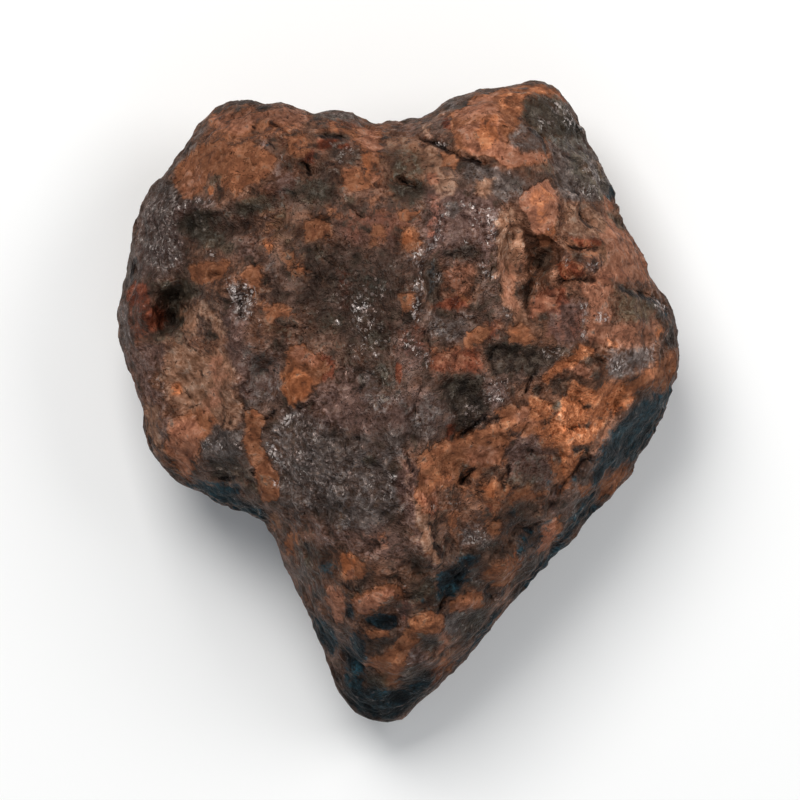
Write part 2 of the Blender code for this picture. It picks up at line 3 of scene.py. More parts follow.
import bmesh
import bpy
import numpy as np
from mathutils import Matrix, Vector


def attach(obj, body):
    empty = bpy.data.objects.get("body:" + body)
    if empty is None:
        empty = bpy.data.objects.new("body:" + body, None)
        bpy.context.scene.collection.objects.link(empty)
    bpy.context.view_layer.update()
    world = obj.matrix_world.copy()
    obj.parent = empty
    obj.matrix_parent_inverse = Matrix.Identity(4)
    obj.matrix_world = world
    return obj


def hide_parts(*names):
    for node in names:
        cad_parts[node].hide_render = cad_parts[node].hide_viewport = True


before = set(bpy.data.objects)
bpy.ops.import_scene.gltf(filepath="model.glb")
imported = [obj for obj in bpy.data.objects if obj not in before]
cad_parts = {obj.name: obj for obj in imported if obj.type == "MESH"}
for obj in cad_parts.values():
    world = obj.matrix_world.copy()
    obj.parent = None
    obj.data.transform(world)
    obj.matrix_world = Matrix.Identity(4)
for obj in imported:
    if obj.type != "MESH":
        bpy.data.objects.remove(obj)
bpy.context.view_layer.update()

# ------------------------------------------------------------------------------------------------------------------
# The stone's plan is drawn on a sheet in units of 0.1875 mm, x to the right and y down. Heights are in millimetres.
# ------------------------------------------------------------------------------------------------------------------
UNIT = 0.0001875
SHEET_CENTRE = (398.5, 400.5)
POLE = (392.0, 352.0)
CUTS = 128
UPPER_SHARE = 0.71
CROWN = 54.0
SWELL = 0.27
SAG = 0.62

OUTLINE = [
    (176, 161), (184, 149), (192, 135), (203, 121), (215, 108), (225, 102), (242, 98), (249, 99),
    (260, 102), (272, 106), (280, 105.5), (291, 107), (300, 110), (310, 114), (330, 113), (352, 114), (358, 119),
    (364, 123.5), (380, 127), (400, 127.5), (406, 123.5), (420, 122), (431, 117.5), (438, 110), (446, 102), (456, 97),
    (466, 94), (478, 91), (489, 90), (493, 91.5),
    (507, 87.5), (523, 84.5), (530, 81.5), (537, 80), (548, 82), (555, 84.5), (562, 93), (574, 108), (579, 119),
    (584, 131), (591, 147),
    (600, 162), (603, 170), (607, 177), (614, 187), (614, 195), (614, 206), (619, 216), (625, 229), (634, 241),
    (643, 252), (647, 263),
    (650, 276), (656, 286), (666, 296), (674, 311), (679, 333), (678, 350), (681, 364), (679, 378),
    (673, 383), (671, 397), (663, 418), (652, 432), (650, 442), (639, 461), (630, 474), (621, 485),
    (611, 499), (600, 506), (590, 513), (579, 528), (572, 537), (564, 544), (549, 557), (540, 569),
    (533, 580), (525, 590), (517, 598), (507, 603), (497, 622), (489, 632), (481, 643), (468, 660),
    (451, 677), (434, 695), (420, 706), (409, 716.5), (401, 723), (386, 726), (372, 723.5), (355, 716),
    (345, 704), (338, 692), (334, 678), (327, 659), (319, 643), (314, 628), (311, 617), (303, 602), (300, 597),
    (293, 582), (284, 560), (276, 540), (264, 523), (251, 516), (238, 507), (222, 502), (207, 493),
    (192, 489), (176, 481), (163, 468), (148, 449), (144, 426), (146, 413), (141, 395), (132, 372),
    (126, 355), (120, 330), (116.5, 312), (119, 300), (123, 280), (130, 245), (134, 228), (140, 204),
    (150, 186), (163, 174),
]

RIM = [
    (176, 161, 22.0, 3.2, 2.8), (215, 108, 21.5, 3.4, 3.2), (272, 106, 23.5, 4.2, 2.6),
    (330, 113, 26.0, 4.6, 3.0), (390, 123, 25.0, 4.0, 3.6), (446, 102, 24.0, 3.8, 3.0),
    (500, 89, 24.0, 4.2, 2.6), (550, 83, 22.5, 3.4, 2.8), (584, 131, 20.0, 3.0, 3.4),
    (614, 195, 21.5, 3.6, 3.0), (634, 241, 22.0, 4.0, 2.6), (666, 296, 20.5, 4.2, 3.0),
    (679, 340, 18.0, 4.0, 3.4), (677, 379, 14.5, 4.4, 3.4), (650, 442, 12.0, 3.4, 2.8),
    (611, 498, 12.5, 3.6, 2.6), (564, 546, 13.0, 3.6, 2.8), (507, 603, 14.0, 3.8, 3.2),
    (451, 675, 13.0, 3.4, 2.8), (401, 718, 11.0, 2.8, 2.8), (346, 701, 12.0, 3.2, 3.0),
    (313, 626, 16.0, 4.0, 2.8), (284, 560, 17.0, 3.8, 2.6), (251, 516, 16.5, 4.4, 3.0),
    (207, 493, 16.0, 4.4, 3.4), (163, 468, 18.5, 3.6, 3.0), (144, 420, 20.0, 4.4, 2.6),
    (126, 355, 19.0, 4.4, 2.8), (118, 308, 18.5, 4.2, 3.2), (130, 245, 19.0, 3.8, 3.0),
    (145, 195, 21.0, 3.6, 2.8),
]

UPPER = [
    (176, 161, 33), (215, 108, 33), (249, 99, 34), (310, 114, 37), (364, 121, 38.5), (400, 123, 38.5),
    (446, 102, 38), (489, 90, 38), (537, 80, 37), (562, 96, 34), (584, 131, 32), (614, 189, 30.5),
    (625, 229, 32), (649, 274, 32), (674, 311, 31), (679, 350, 28), (676, 382, 22), (650, 440, 19),
    (621, 485, 18), (590, 512, 19), (564, 546, 20), (525, 590, 21), (497, 622, 22), (451, 675, 20),
    (413, 708, 18), (384, 720, 17), (350, 705, 18), (328, 660, 21), (313, 626, 24), (293, 582, 26),
    (264, 523, 28), (238, 507, 27), (207, 493, 27), (176, 481, 29), (148, 447, 30), (144, 424, 30),
    (132, 372, 29), (117, 312, 27.5), (123, 280, 27.5), (134, 228, 28.5), (145, 195, 30),
    (230, 150, 42), (200, 185, 39.5), (262, 180, 46), (300, 150, 43.5), (285, 125, 40), (176, 200, 35.5),
    (215, 203, 43), (262, 193, 47), (310, 185, 48), (350, 178, 47.5), (240, 125, 38.5),
    (200, 228, 38), (235, 228, 41.5), (255, 215, 44), (215, 245, 39), (195, 268, 40), (225, 266, 43),
    (250, 262, 46), (150, 240, 32.5), (165, 215, 35), (160, 262, 34.5),
    (175, 300, 34), (143, 312, 33.5), (128, 300, 29.5), (200, 312, 38), (220, 320, 42.5), (240, 285, 47),
    (243, 340, 46.5), (246, 380, 45.5), (248, 420, 44.5), (185, 350, 34.5), (200, 380, 34), (210, 410, 35),
    (180, 400, 31.5), (160, 380, 30.5), (150, 350, 30.5), (170, 430, 33), (200, 445, 36), (225, 450, 39.5),
    (180, 460, 32.5), (235, 475, 37), (213, 480, 33), (262, 370, 44), (265, 395, 44), (300, 385, 47),
    (325, 365, 49),
    (300, 230, 48), (300, 280, 48.5), (300, 330, 48), (340, 250, 50), (350, 300, 50.5), (370, 350, 51.5),
    (350, 420, 53), (300, 440, 50.5), (320, 480, 51.5), (370, 470, 54.5), (400, 440, 55.5), (400, 400, 54),
    (420, 370, 53), (270, 450, 46), (265, 490, 40.5), (300, 510, 46.5), (340, 520, 50.5), (380, 520, 53),
    (370, 150, 44), (330, 140, 43), (400, 160, 45.5), (400, 200, 49), (360, 210, 50), (430, 140, 44.5),
    (440, 180, 48), (441, 207, 51), (430, 250, 53.5), (418, 290, 54.5), (414, 323, 54.5), (450, 270, 49.5),
    (455, 310, 49.5), (445, 340, 51), (485, 215, 52), (488, 250, 52.5), (488, 285, 51.5), (480, 330, 50),
    (470, 120, 43), (500, 110, 43), (480, 150, 46.5), (510, 150, 47.5), (535, 100, 41.5), (500, 180, 50),
    (540, 170, 48.5), (535, 200, 51.5), (560, 130, 40.5), (580, 160, 39.5), (570, 190, 45.5),
    (595, 190, 39), (600, 215, 41), (575, 230, 48.5), (580, 265, 50), (610, 240, 44.5), (630, 260, 40),
    (640, 290, 38), (600, 290, 48), (575, 300, 50), (540, 260, 46), (530, 310, 48), (510, 330, 49.5),
    (550, 330, 48.5), (600, 330, 46), (640, 330, 40.5), (660, 350, 35.5), (540, 380, 47), (580, 370, 45.5),
    (620, 370, 42.5), (560, 420, 45.5), (600, 400, 43), (580, 450, 41.5), (540, 460, 45),
    (664, 374, 34), (651, 393, 35.5), (620, 405, 39.5), (604, 426, 40.5), (592, 448, 40.5), (575, 468, 40),
    (564, 483, 39.5), (552, 500, 39), (545, 520, 38), (537, 545, 34.5), (640, 430, 24), (612, 470, 25.5),
    (590, 485, 30), (600, 495, 23), (570, 520, 28), (550, 545, 25),
    (440, 460, 50), (470, 460, 48.5), (500, 450, 47.5), (520, 440, 47), (450, 500, 48), (480, 500, 46.5),
    (510, 500, 44), (480, 540, 43.5), (450, 540, 45.5), (510, 530, 40), (530, 500, 42),
    (410, 480, 55), (425, 520, 53), (437, 550, 49.5), (405, 520, 53), (380, 560, 50), (418, 562, 48),
    (350, 560, 47.5), (320, 560, 43.5), (300, 560, 38), (285, 540, 36), (340, 600, 43.5), (325, 600, 38.5),
    (375, 600, 46), (400, 600, 46), (430, 590, 44), (450, 585, 41), (480, 575, 39.5), (500, 560, 40),
    (520, 560, 35.5), (500, 590, 32), (470, 610, 38), (440, 620, 41), (410, 630, 43), (380, 620, 42),
    (370, 650, 38.5), (345, 640, 32), (333, 645, 25), (350, 680, 26), (370, 690, 27.5), (390, 660, 39),
    (410, 660, 38.5), (440, 650, 34), (460, 640, 31), (430, 680, 27.5), (390, 690, 28.5), (400, 702, 22),
]

UNDER = [
    (176, 161, 12), (215, 108, 10), (272, 106, 9), (330, 113, 12), (390, 123, 15), (446, 102, 12),
    (500, 89, 9), (550, 83, 11), (584, 131, 12), (614, 195, 10), (634, 241, 9), (666, 296, 11),
    (679, 340, 9), (677, 379, 5), (650, 442, 3), (611, 498, 4), (564, 546, 6), (507, 603, 7),
    (451, 675, 6), (401, 718, 6), (346, 701, 5), (313, 626, 6), (284, 560, 5), (251, 516, 4),
    (207, 493, 5), (163, 468, 8), (144, 420, 9), (126, 355, 7), (118, 308, 8), (130, 245, 9), (145, 195, 10),
    (400, 330, -2.6), (340, 280, -2.2), (460, 280, -2.2), (350, 400, -2.2), (440, 400, -1.8),
    (300, 335, -1.0), (500, 330, -0.8), (400, 225, -0.8), (400, 460, -0.8), (270, 260, 3.2), (235, 350, 4.2),
    (260, 430, 3.2), (545, 220, 3.4), (560, 310, 2.0), (560, 400, 1.6), (480, 490, 1.4), (400, 545, 2.6),
    (395, 640, 5.5), (300, 180, 3.8), (470, 160, 3.2), (205, 200, 8.5), (180, 300, 6.8), (190, 420, 6.0),
    (320, 500, 2.4), (390, 165, 6.5), (600, 440, 1.6), (625, 350, 4.6), (590, 250, 6.2), (540, 130, 6.5),
    (240, 140, 7.0),
]

# hollows and bosses: x, y, half length, half width, turn, depth, power
HOLLOWS = [
    (176, 311, 24, 32, 8, 7.5, 1.2), (182, 294, 32, 14, -4, 4.0, 1.3), (170, 324, 11, 17, 15, 4.5, 0.9),
    (141, 313, 22, 36, 0, -2.2, 1.2), (150, 326, 13, 16, 0, -0.8, 1.2),
    (519, 264, 31, 62, -6, 4.0, 1.3), (538, 262, 18, 30, 28, 2.8, 1.0), (544, 259, 14, 19, 25, 2.2, 0.9),
    (525, 296, 8, 15, 15, 2.2, 0.9), (538, 209, 22, 32, -4, -1.9, 1.0), (508, 250, 11, 50, -3, 1.4, 1.2),
    (576, 266, 23, 12, 0, -2.4, 1.0), (590, 262, 9, 9, 0, -1.2, 1.0), (585, 219, 14, 9, 20, 2.2, 1.0),
    (578, 240, 22, 6, 8, -1.8, 1.0), (566, 290, 28, 10, 0, -1.2, 1.1), (600, 317, 12, 8, 0, -1.8, 1.0),
    (634, 309, 20, 14, -8, 1.2, 1.1), (232, 468, 27, 13, -6, 3.2, 1.0), (448, 583, 22, 18, 0, 2.2, 1.2),
    (415, 563, 19, 13, 20, 2.6, 1.0), (508, 363, 28, 18, -6, 1.5, 1.1), (458, 398, 28, 22, -20, 1.5, 1.2),
    (382, 620, 20, 11, 4, 1.4, 1.1), (382, 634, 18, 7, 0, -1.4, 1.0), (408, 188, 18, 10, 0, 1.8, 1.1),
    (448, 285, 26, 22, 0, 1.2, 1.1), (456, 276, 20, 16, 0, -1.2, 1.0), (242, 300, 16, 22, 0, 1.8, 1.1),
    (298, 386, 20, 18, -20, -1.8, 1.0), (325, 366, 15, 17, 0, -1.2, 1.0), (558, 385, 13, 9, 0, 1.2, 1.0),
    (540, 390, 6, 7, 0, 1.4, 1.0), (550, 406, 9, 7, 0, 1.2, 1.0),
    (553, 452, 12, 9, 20, 1.8, 1.0), (592, 358, 14, 7, 20, 1.6, 1.0), (522, 456, 24, 20, 0, 1.4, 1.2),
    (495, 487, 15, 12, 0, -1.6, 1.0), (520, 532, 22, 17, -20, 2.6, 1.1), (552, 532, 10, 22, 28, -2.2, 1.0),
    (502, 568, 28, 12, -10, -2.4, 1.0), (462, 602, 20, 9, -10, -1.8, 1.0), (349, 566, 14, 12, 0, -1.8, 1.0),
    (322, 564, 18, 14, 0, 2.0, 1.1), (348, 660, 16, 38, 12, 2.0, 1.1), (392, 666, 20, 22, 0, -2.0, 1.0),
    (338, 492, 10, 9, 0, -1.2, 1.0), (290, 436, 22, 30, 0, 1.4, 1.1), (332, 152, 22, 9, 0, 1.8, 1.0),
    (345, 300, 34, 60, 6, 1.6, 1.2), (268, 232, 26, 18, -12, 1.0, 1.1), (540, 125, 24, 26, -20, 1.4, 1.1),
    (590, 170, 14, 20, -20, -1.2, 1.0), (430, 642, 15, 9, 10, 1.6, 1.0), (475, 620, 15, 12, -40, 1.6, 1.0),
    (622, 440, 26, 12, -50, 2.0, 1.1), (612, 482, 20, 10, -40, -1.4, 1.1), (390, 702, 34, 12, 0, 1.6, 1.1),
    (255, 440, 12, 28, -8, -1.3, 1.0), (268, 480, 10, 20, -8, -1.0, 1.0), (214, 230, 40, 20, 6, 2.0, 1.1),
    (236, 212, 26, 9, -14, 1.2, 1.0), (425, 622, 20, 13, -10, -1.6, 1.0), (380, 594, 26, 13, -16, -1.6, 1.0),
    (332, 608, 12, 20, -12, -1.6, 1.0), (300, 175, 24, 16, 0, 1.4, 1.1), (240, 160, 34, 22, -20, -1.0, 1.1),
    (480, 128, 26, 24, 0, -1.2, 1.1), (455, 150, 12, 7, 25, 1.2, 1.0), (214, 270, 24, 9, -6, -1.4, 1.0),
    (252, 284, 10, 14, 0, -1.0, 1.0), (278, 311, 16, 9, 0, -1.0, 1.0), (262, 372, 16, 22, 0, 1.4, 1.1),
    (398, 250, 22, 34, 10, 1.2, 1.2), (372, 380, 24, 16, 0, 1.2, 1.1), (330, 470, 26, 24, 0, 0.8, 1.2),
    (428, 468, 16, 12, 0, -1.2, 1.0), (465, 476, 14, 7, -30, 1.4, 1.0), (505, 425, 20, 9, -10, -1.0, 1.0),
    (568, 440, 16, 14, 0, -1.4, 1.0), (560, 412, 14, 10, -30, -1.2, 1.0), (600, 392, 14, 10, -20, -1.2, 1.0),
    (634, 362, 18, 9, -30, 1.0, 1.1), (655, 342, 12, 10, 0, -1.0, 1.1), (520, 338, 16, 9, 0, -1.0, 1.0),
    (548, 352, 14, 8, 0, 1.4, 1.0), (350, 620, 7, 18, -8, 0.6, 1.0), (492, 545, 22, 9, -14, 1.2, 1.0),
]

# cracks: line, half width, depth
CRACKS = [
    ([(548, 246), (541, 262), (532, 278), (525, 290), (526, 304)], 8, 1.3),
    ([(411, 138), (430, 144), (445, 152), (462, 162), (480, 166), (494, 168)], 4, 2.2),
    ([(315, 138), (330, 140), (349, 141)], 5, 3.0), ([(253, 127), (255, 137)], 3.5, 1.8),
    ([(266, 124), (277, 127), (287, 134)], 3.5, 1.5), ([(305, 163), (309, 172), (312, 180)], 4, 1.8),
    ([(270, 140), (276, 153)], 3.5, 1.4), ([(214, 479), (228, 478), (242, 477)], 4, 2.4),
    ([(255, 466), (256, 476)], 3.5, 2.2), ([(262, 420), (272, 416), (280, 407)], 3.5, 1.5),
    ([(426, 514), (430, 526), (437, 545), (444, 563)], 6, 3.8), ([(455, 481), (465, 472), (477, 465)], 4.5, 2.2),
    ([(456, 440), (470, 427), (491, 411)], 5, 2.0), ([(535, 368), (529, 382), (523, 400)], 4.5, 1.8),
    ([(504, 458), (508, 470), (503, 482), (502, 494)], 4, 1.8), ([(447, 597), (440, 606), (436, 616)], 3.5, 2.0),
    ([(446, 610), (445, 622)], 3.5, 1.4), ([(470, 628), (467, 638), (469, 643)], 4, 2.6),
    ([(345, 600), (347, 625), (354, 645), (362, 668), (356, 690)], 6, 0.8),
    ([(312, 590), (318, 597), (324, 602)], 4, 1.8), ([(420, 328), (425, 336), (430, 345)], 4, 1.8),
    ([(359, 370), (363, 384), (357, 396)], 3.5, 1.4), ([(312, 242), (320, 252), (328, 262), (340, 274)], 3, 1.3),
    ([(137, 255), (134, 268), (131, 284)], 4, 2.0), ([(612, 283), (622, 293), (640, 297), (655, 301), (667, 312)], 5.5, 3.6),
    ([(577, 211), (579, 221), (586, 227), (598, 231)], 4.5, 2.8), ([(560, 248), (578, 251), (602, 249)], 4, 2.0),
    ([(553, 284), (575, 280), (602, 284)], 3.5, 1.6), ([(518, 120), (530, 133), (542, 142), (548, 158)], 3.5, 1.6),
    ([(600, 452), (580, 462), (566, 482), (556, 500)], 4, 1.8), ([(400, 446), (410, 466), (419, 484)], 3.5, 1.7),
    ([(402, 482), (409, 492), (415, 500)], 3, 1.3), ([(492, 598), (484, 590), (490, 580)], 4, 1.8),
    ([(202, 366), (205, 378)], 3, 1.0), ([(186, 326), (188, 338), (180, 345)], 4, 1.6),
    ([(148, 432), (151, 447)], 4, 1.8), ([(262, 508), (266, 518)], 4, 2.0),
    ([(303, 538), (310, 550), (316, 556)], 4, 1.6), ([(340, 578), (352, 586), (366, 584)], 4, 1.6),
    ([(565, 540), (554, 548)], 4, 1.8), ([(418, 425), (414, 405), (425, 385)], 3, 1.0),
    ([(340, 445), (352, 438), (370, 441)], 3, 1.0), ([(372, 540), (378, 548)], 3, 1.2),
    ([(290, 515), (305, 508), (320, 505)], 4, 1.3), ([(662, 335), (668, 345), (660, 352)], 4, 1.4),
    ([(240, 296), (243, 312), (240, 322)], 5, 1.8), ([(488, 262), (486, 274), (484, 284)], 4, 1.6),
    ([(556, 150), (566, 158), (580, 164)], 3.5, 1.3), ([(574, 398), (582, 408), (590, 404)], 4, 1.3),
    ([(562, 428), (576, 426), (590, 424)], 4, 1.5), ([(570, 452), (580, 449), (588, 451)], 4, 1.8),
    ([(398, 180), (408, 188), (420, 192)], 4, 1.6), ([(208, 460), (222, 462)], 3, 1.0),
    ([(380, 300), (392, 318), (404, 322)], 3.5, 1.2), ([(272, 336), (300, 341), (322, 341)], 3, 0.6),
    ([(268, 212), (266, 226)], 3, 1.2), ([(345, 205), (360, 218), (372, 216)], 3.5, 1.0),
    ([(446, 565), (452, 572), (460, 570)], 4, 1.8), ([(500, 345), (492, 352), (488, 366)], 3.5, 1.2),
    ([(540, 520), (530, 528), (518, 526)], 3.5, 1.4), ([(178, 380), (190, 392), (194, 402)], 3.5, 1.0),
    ([(190, 410), (202, 398), (212, 384)], 3, 1.0), ([(400, 602), (412, 596), (428, 598)], 4, 1.4),
    ([(352, 640), (360, 628), (358, 616)], 3.5, 1.4), ([(322, 640), (330, 655)], 3.5, 1.2),
]

# broken edges: line, half width, reach, drop on the right hand when walking it
EDGES = [
    ([(442, 200), (438, 225), (430, 250), (420, 272), (417, 300), (414, 326)], 4, 60, -2.6),
    ([(497, 205), (494, 235), (492, 262), (494, 290)], 4, 44, -1.8),
    ([(405, 446), (416, 474), (428, 500), (436, 525), (446, 566)], 3, 60, -3.0),
    ([(411, 138), (430, 144), (445, 152), (462, 162), (494, 168)], 2.5, 44, 1.8),
    ([(612, 283), (622, 293), (640, 297), (655, 301), (668, 313)], 2.5, 40, -2.0),
    ([(560, 243), (541, 242), (524, 240), (516, 225)], 3, 30, 0.7),
    ([(560, 273), (552, 262), (554, 246)], 3, 26, 2.0),
    ([(660, 386), (640, 398), (620, 406), (606, 426), (594, 449), (577, 467), (563, 484), (552, 502), (546, 522)],
     4, 46, 3.2),
    ([(250, 286), (236, 284), (215, 282), (190, 283), (160, 283)], 3, 40, 2.0),
    ([(270, 190), (240, 203), (212, 206), (180, 204)], 5, 40, 2.2),
    ([(190, 483), (215, 488), (240, 490), (262, 500)], 4, 34, -1.8),
    ([(238, 425), (256, 412), (275, 400)], 3, 30, -1.0), ([(530, 402), (512, 396), (498, 382), (486, 368)], 3, 30, 1.2),
    ([(418, 452), (440, 444), (470, 432), (500, 424)], 3, 40, -1.6),
    ([(540, 560), (520, 552), (500, 552), (480, 560)], 3, 30, 1.4),
    ([(352, 572), (372, 566), (400, 574), (430, 566)], 3, 26, 1.4),
    ([(345, 412), (330, 392), (340, 372), (356, 352)], 3, 30, 0.9),
    ([(280, 400), (292, 408), (316, 400), (330, 384)], 3, 22, 1.2),
    ([(310, 230), (334, 242), (350, 262), (352, 290)], 4, 34, 0.9),
    ([(520, 92), (512, 118), (508, 150), (530, 160)], 3, 30, 1.0),
    ([(560, 196), (552, 182), (538, 178), (520, 196)], 2.5, 22, -1.2),
]

FACES = [
    (222, 148, 43.2, 132, 27, 95), (575, 150, 43.0, 12, 36, 95), (185, 425, 40.3, 212, 26, 80),
    (158, 236, 39.3, 168, 36, 70), (478, 612, 39.5, -40, 36, 85), (340, 622, 38.6, 204, 44, 85),
    (335, 134, 45.2, 97, 24, 80), (646, 318, 41.0, -6, 34, 75), (478, 118, 45.2, 88, 22, 70),
    (300, 545, 41.6, 208, 36, 75), (396, 686, 33.0, -82, 40, 60), (560, 430, 46.4, -38, 20, 90),
    (628, 250, 41.8, 28, 34, 60), (238, 462, 41.8, 238, 30, 60), (625, 440, 33.0, -34, 60, 70),
    (300, 300, 49.4, 170, 8, 90), (370, 400, 54.6, 60, 3, 90), (520, 340, 50.6, 0, 12, 70),
]

BREAKS = [
    (-12, 38, 0.4), (14, 55, 1.2), (32, 30, 0.3), (58, 48, 1.0), (84, 34, 0.4), (104, 56, 1.6), (128, 36, 0.3),
    (150, 52, 1.2), (172, 33, 0.4), (196, 50, 1.0), (215, 35, 0.4), (236, 54, 1.4), (262, 40, 0.6),
    (285, 56, 1.0), (305, 36, 0.4), (322, 52, 1.4), (341, 60, 1.8),
]

THUMBPRINTS = [
    (150, 190, 16, 11, 1.8), (205, 120, 14, 9, 1.4), (300, 118, 17, 12, 2.2), (365, 130, 20, 8, 1.2),
    (430, 118, 16, 10, 1.8), (520, 92, 17, 9, 1.6), (580, 135, 13, 11, 2.0), (618, 215, 15, 9, 1.6),
    (650, 280, 13, 11, 2.0), (676, 350, 12, 9, 1.4), (640, 450, 7, 10, 1.6), (590, 515, 9, 9, 1.4),
    (540, 575, 8, 9, 1.6), (490, 630, 9, 10, 1.6), (430, 690, 8, 8, 1.2), (350, 700, 8, 9, 1.6),
    (318, 640, 11, 8, 1.4), (290, 580, 11, 9, 1.6), (255, 520, 11, 9, 1.4), (190, 490, 12, 11, 2.0),
    (146, 430, 15, 8, 1.4), (128, 360, 13, 10, 1.8), (120, 300, 12, 9, 1.4), (128, 240, 14, 10, 1.6),
    (220, 170, 7, 14, 2.0), (240, 260, 4, 15, 2.2), (200, 350, 6, 13, 1.8), (240, 450, 3, 13, 1.8),
    (330, 180, 3, 14, 1.8), (430, 170, 4, 12, 1.6), (520, 180, 4, 13, 1.8), (590, 220, 6, 12, 1.6),
    (610, 330, 4, 14, 2.0), (590, 430, 2, 12, 1.6), (520, 520, 3, 13, 1.8), (430, 590, 4, 13, 1.8),
    (350, 620, 5, 11, 1.6), (320, 540, 3, 11, 1.6), (400, 660, 6, 10, 1.2),
]

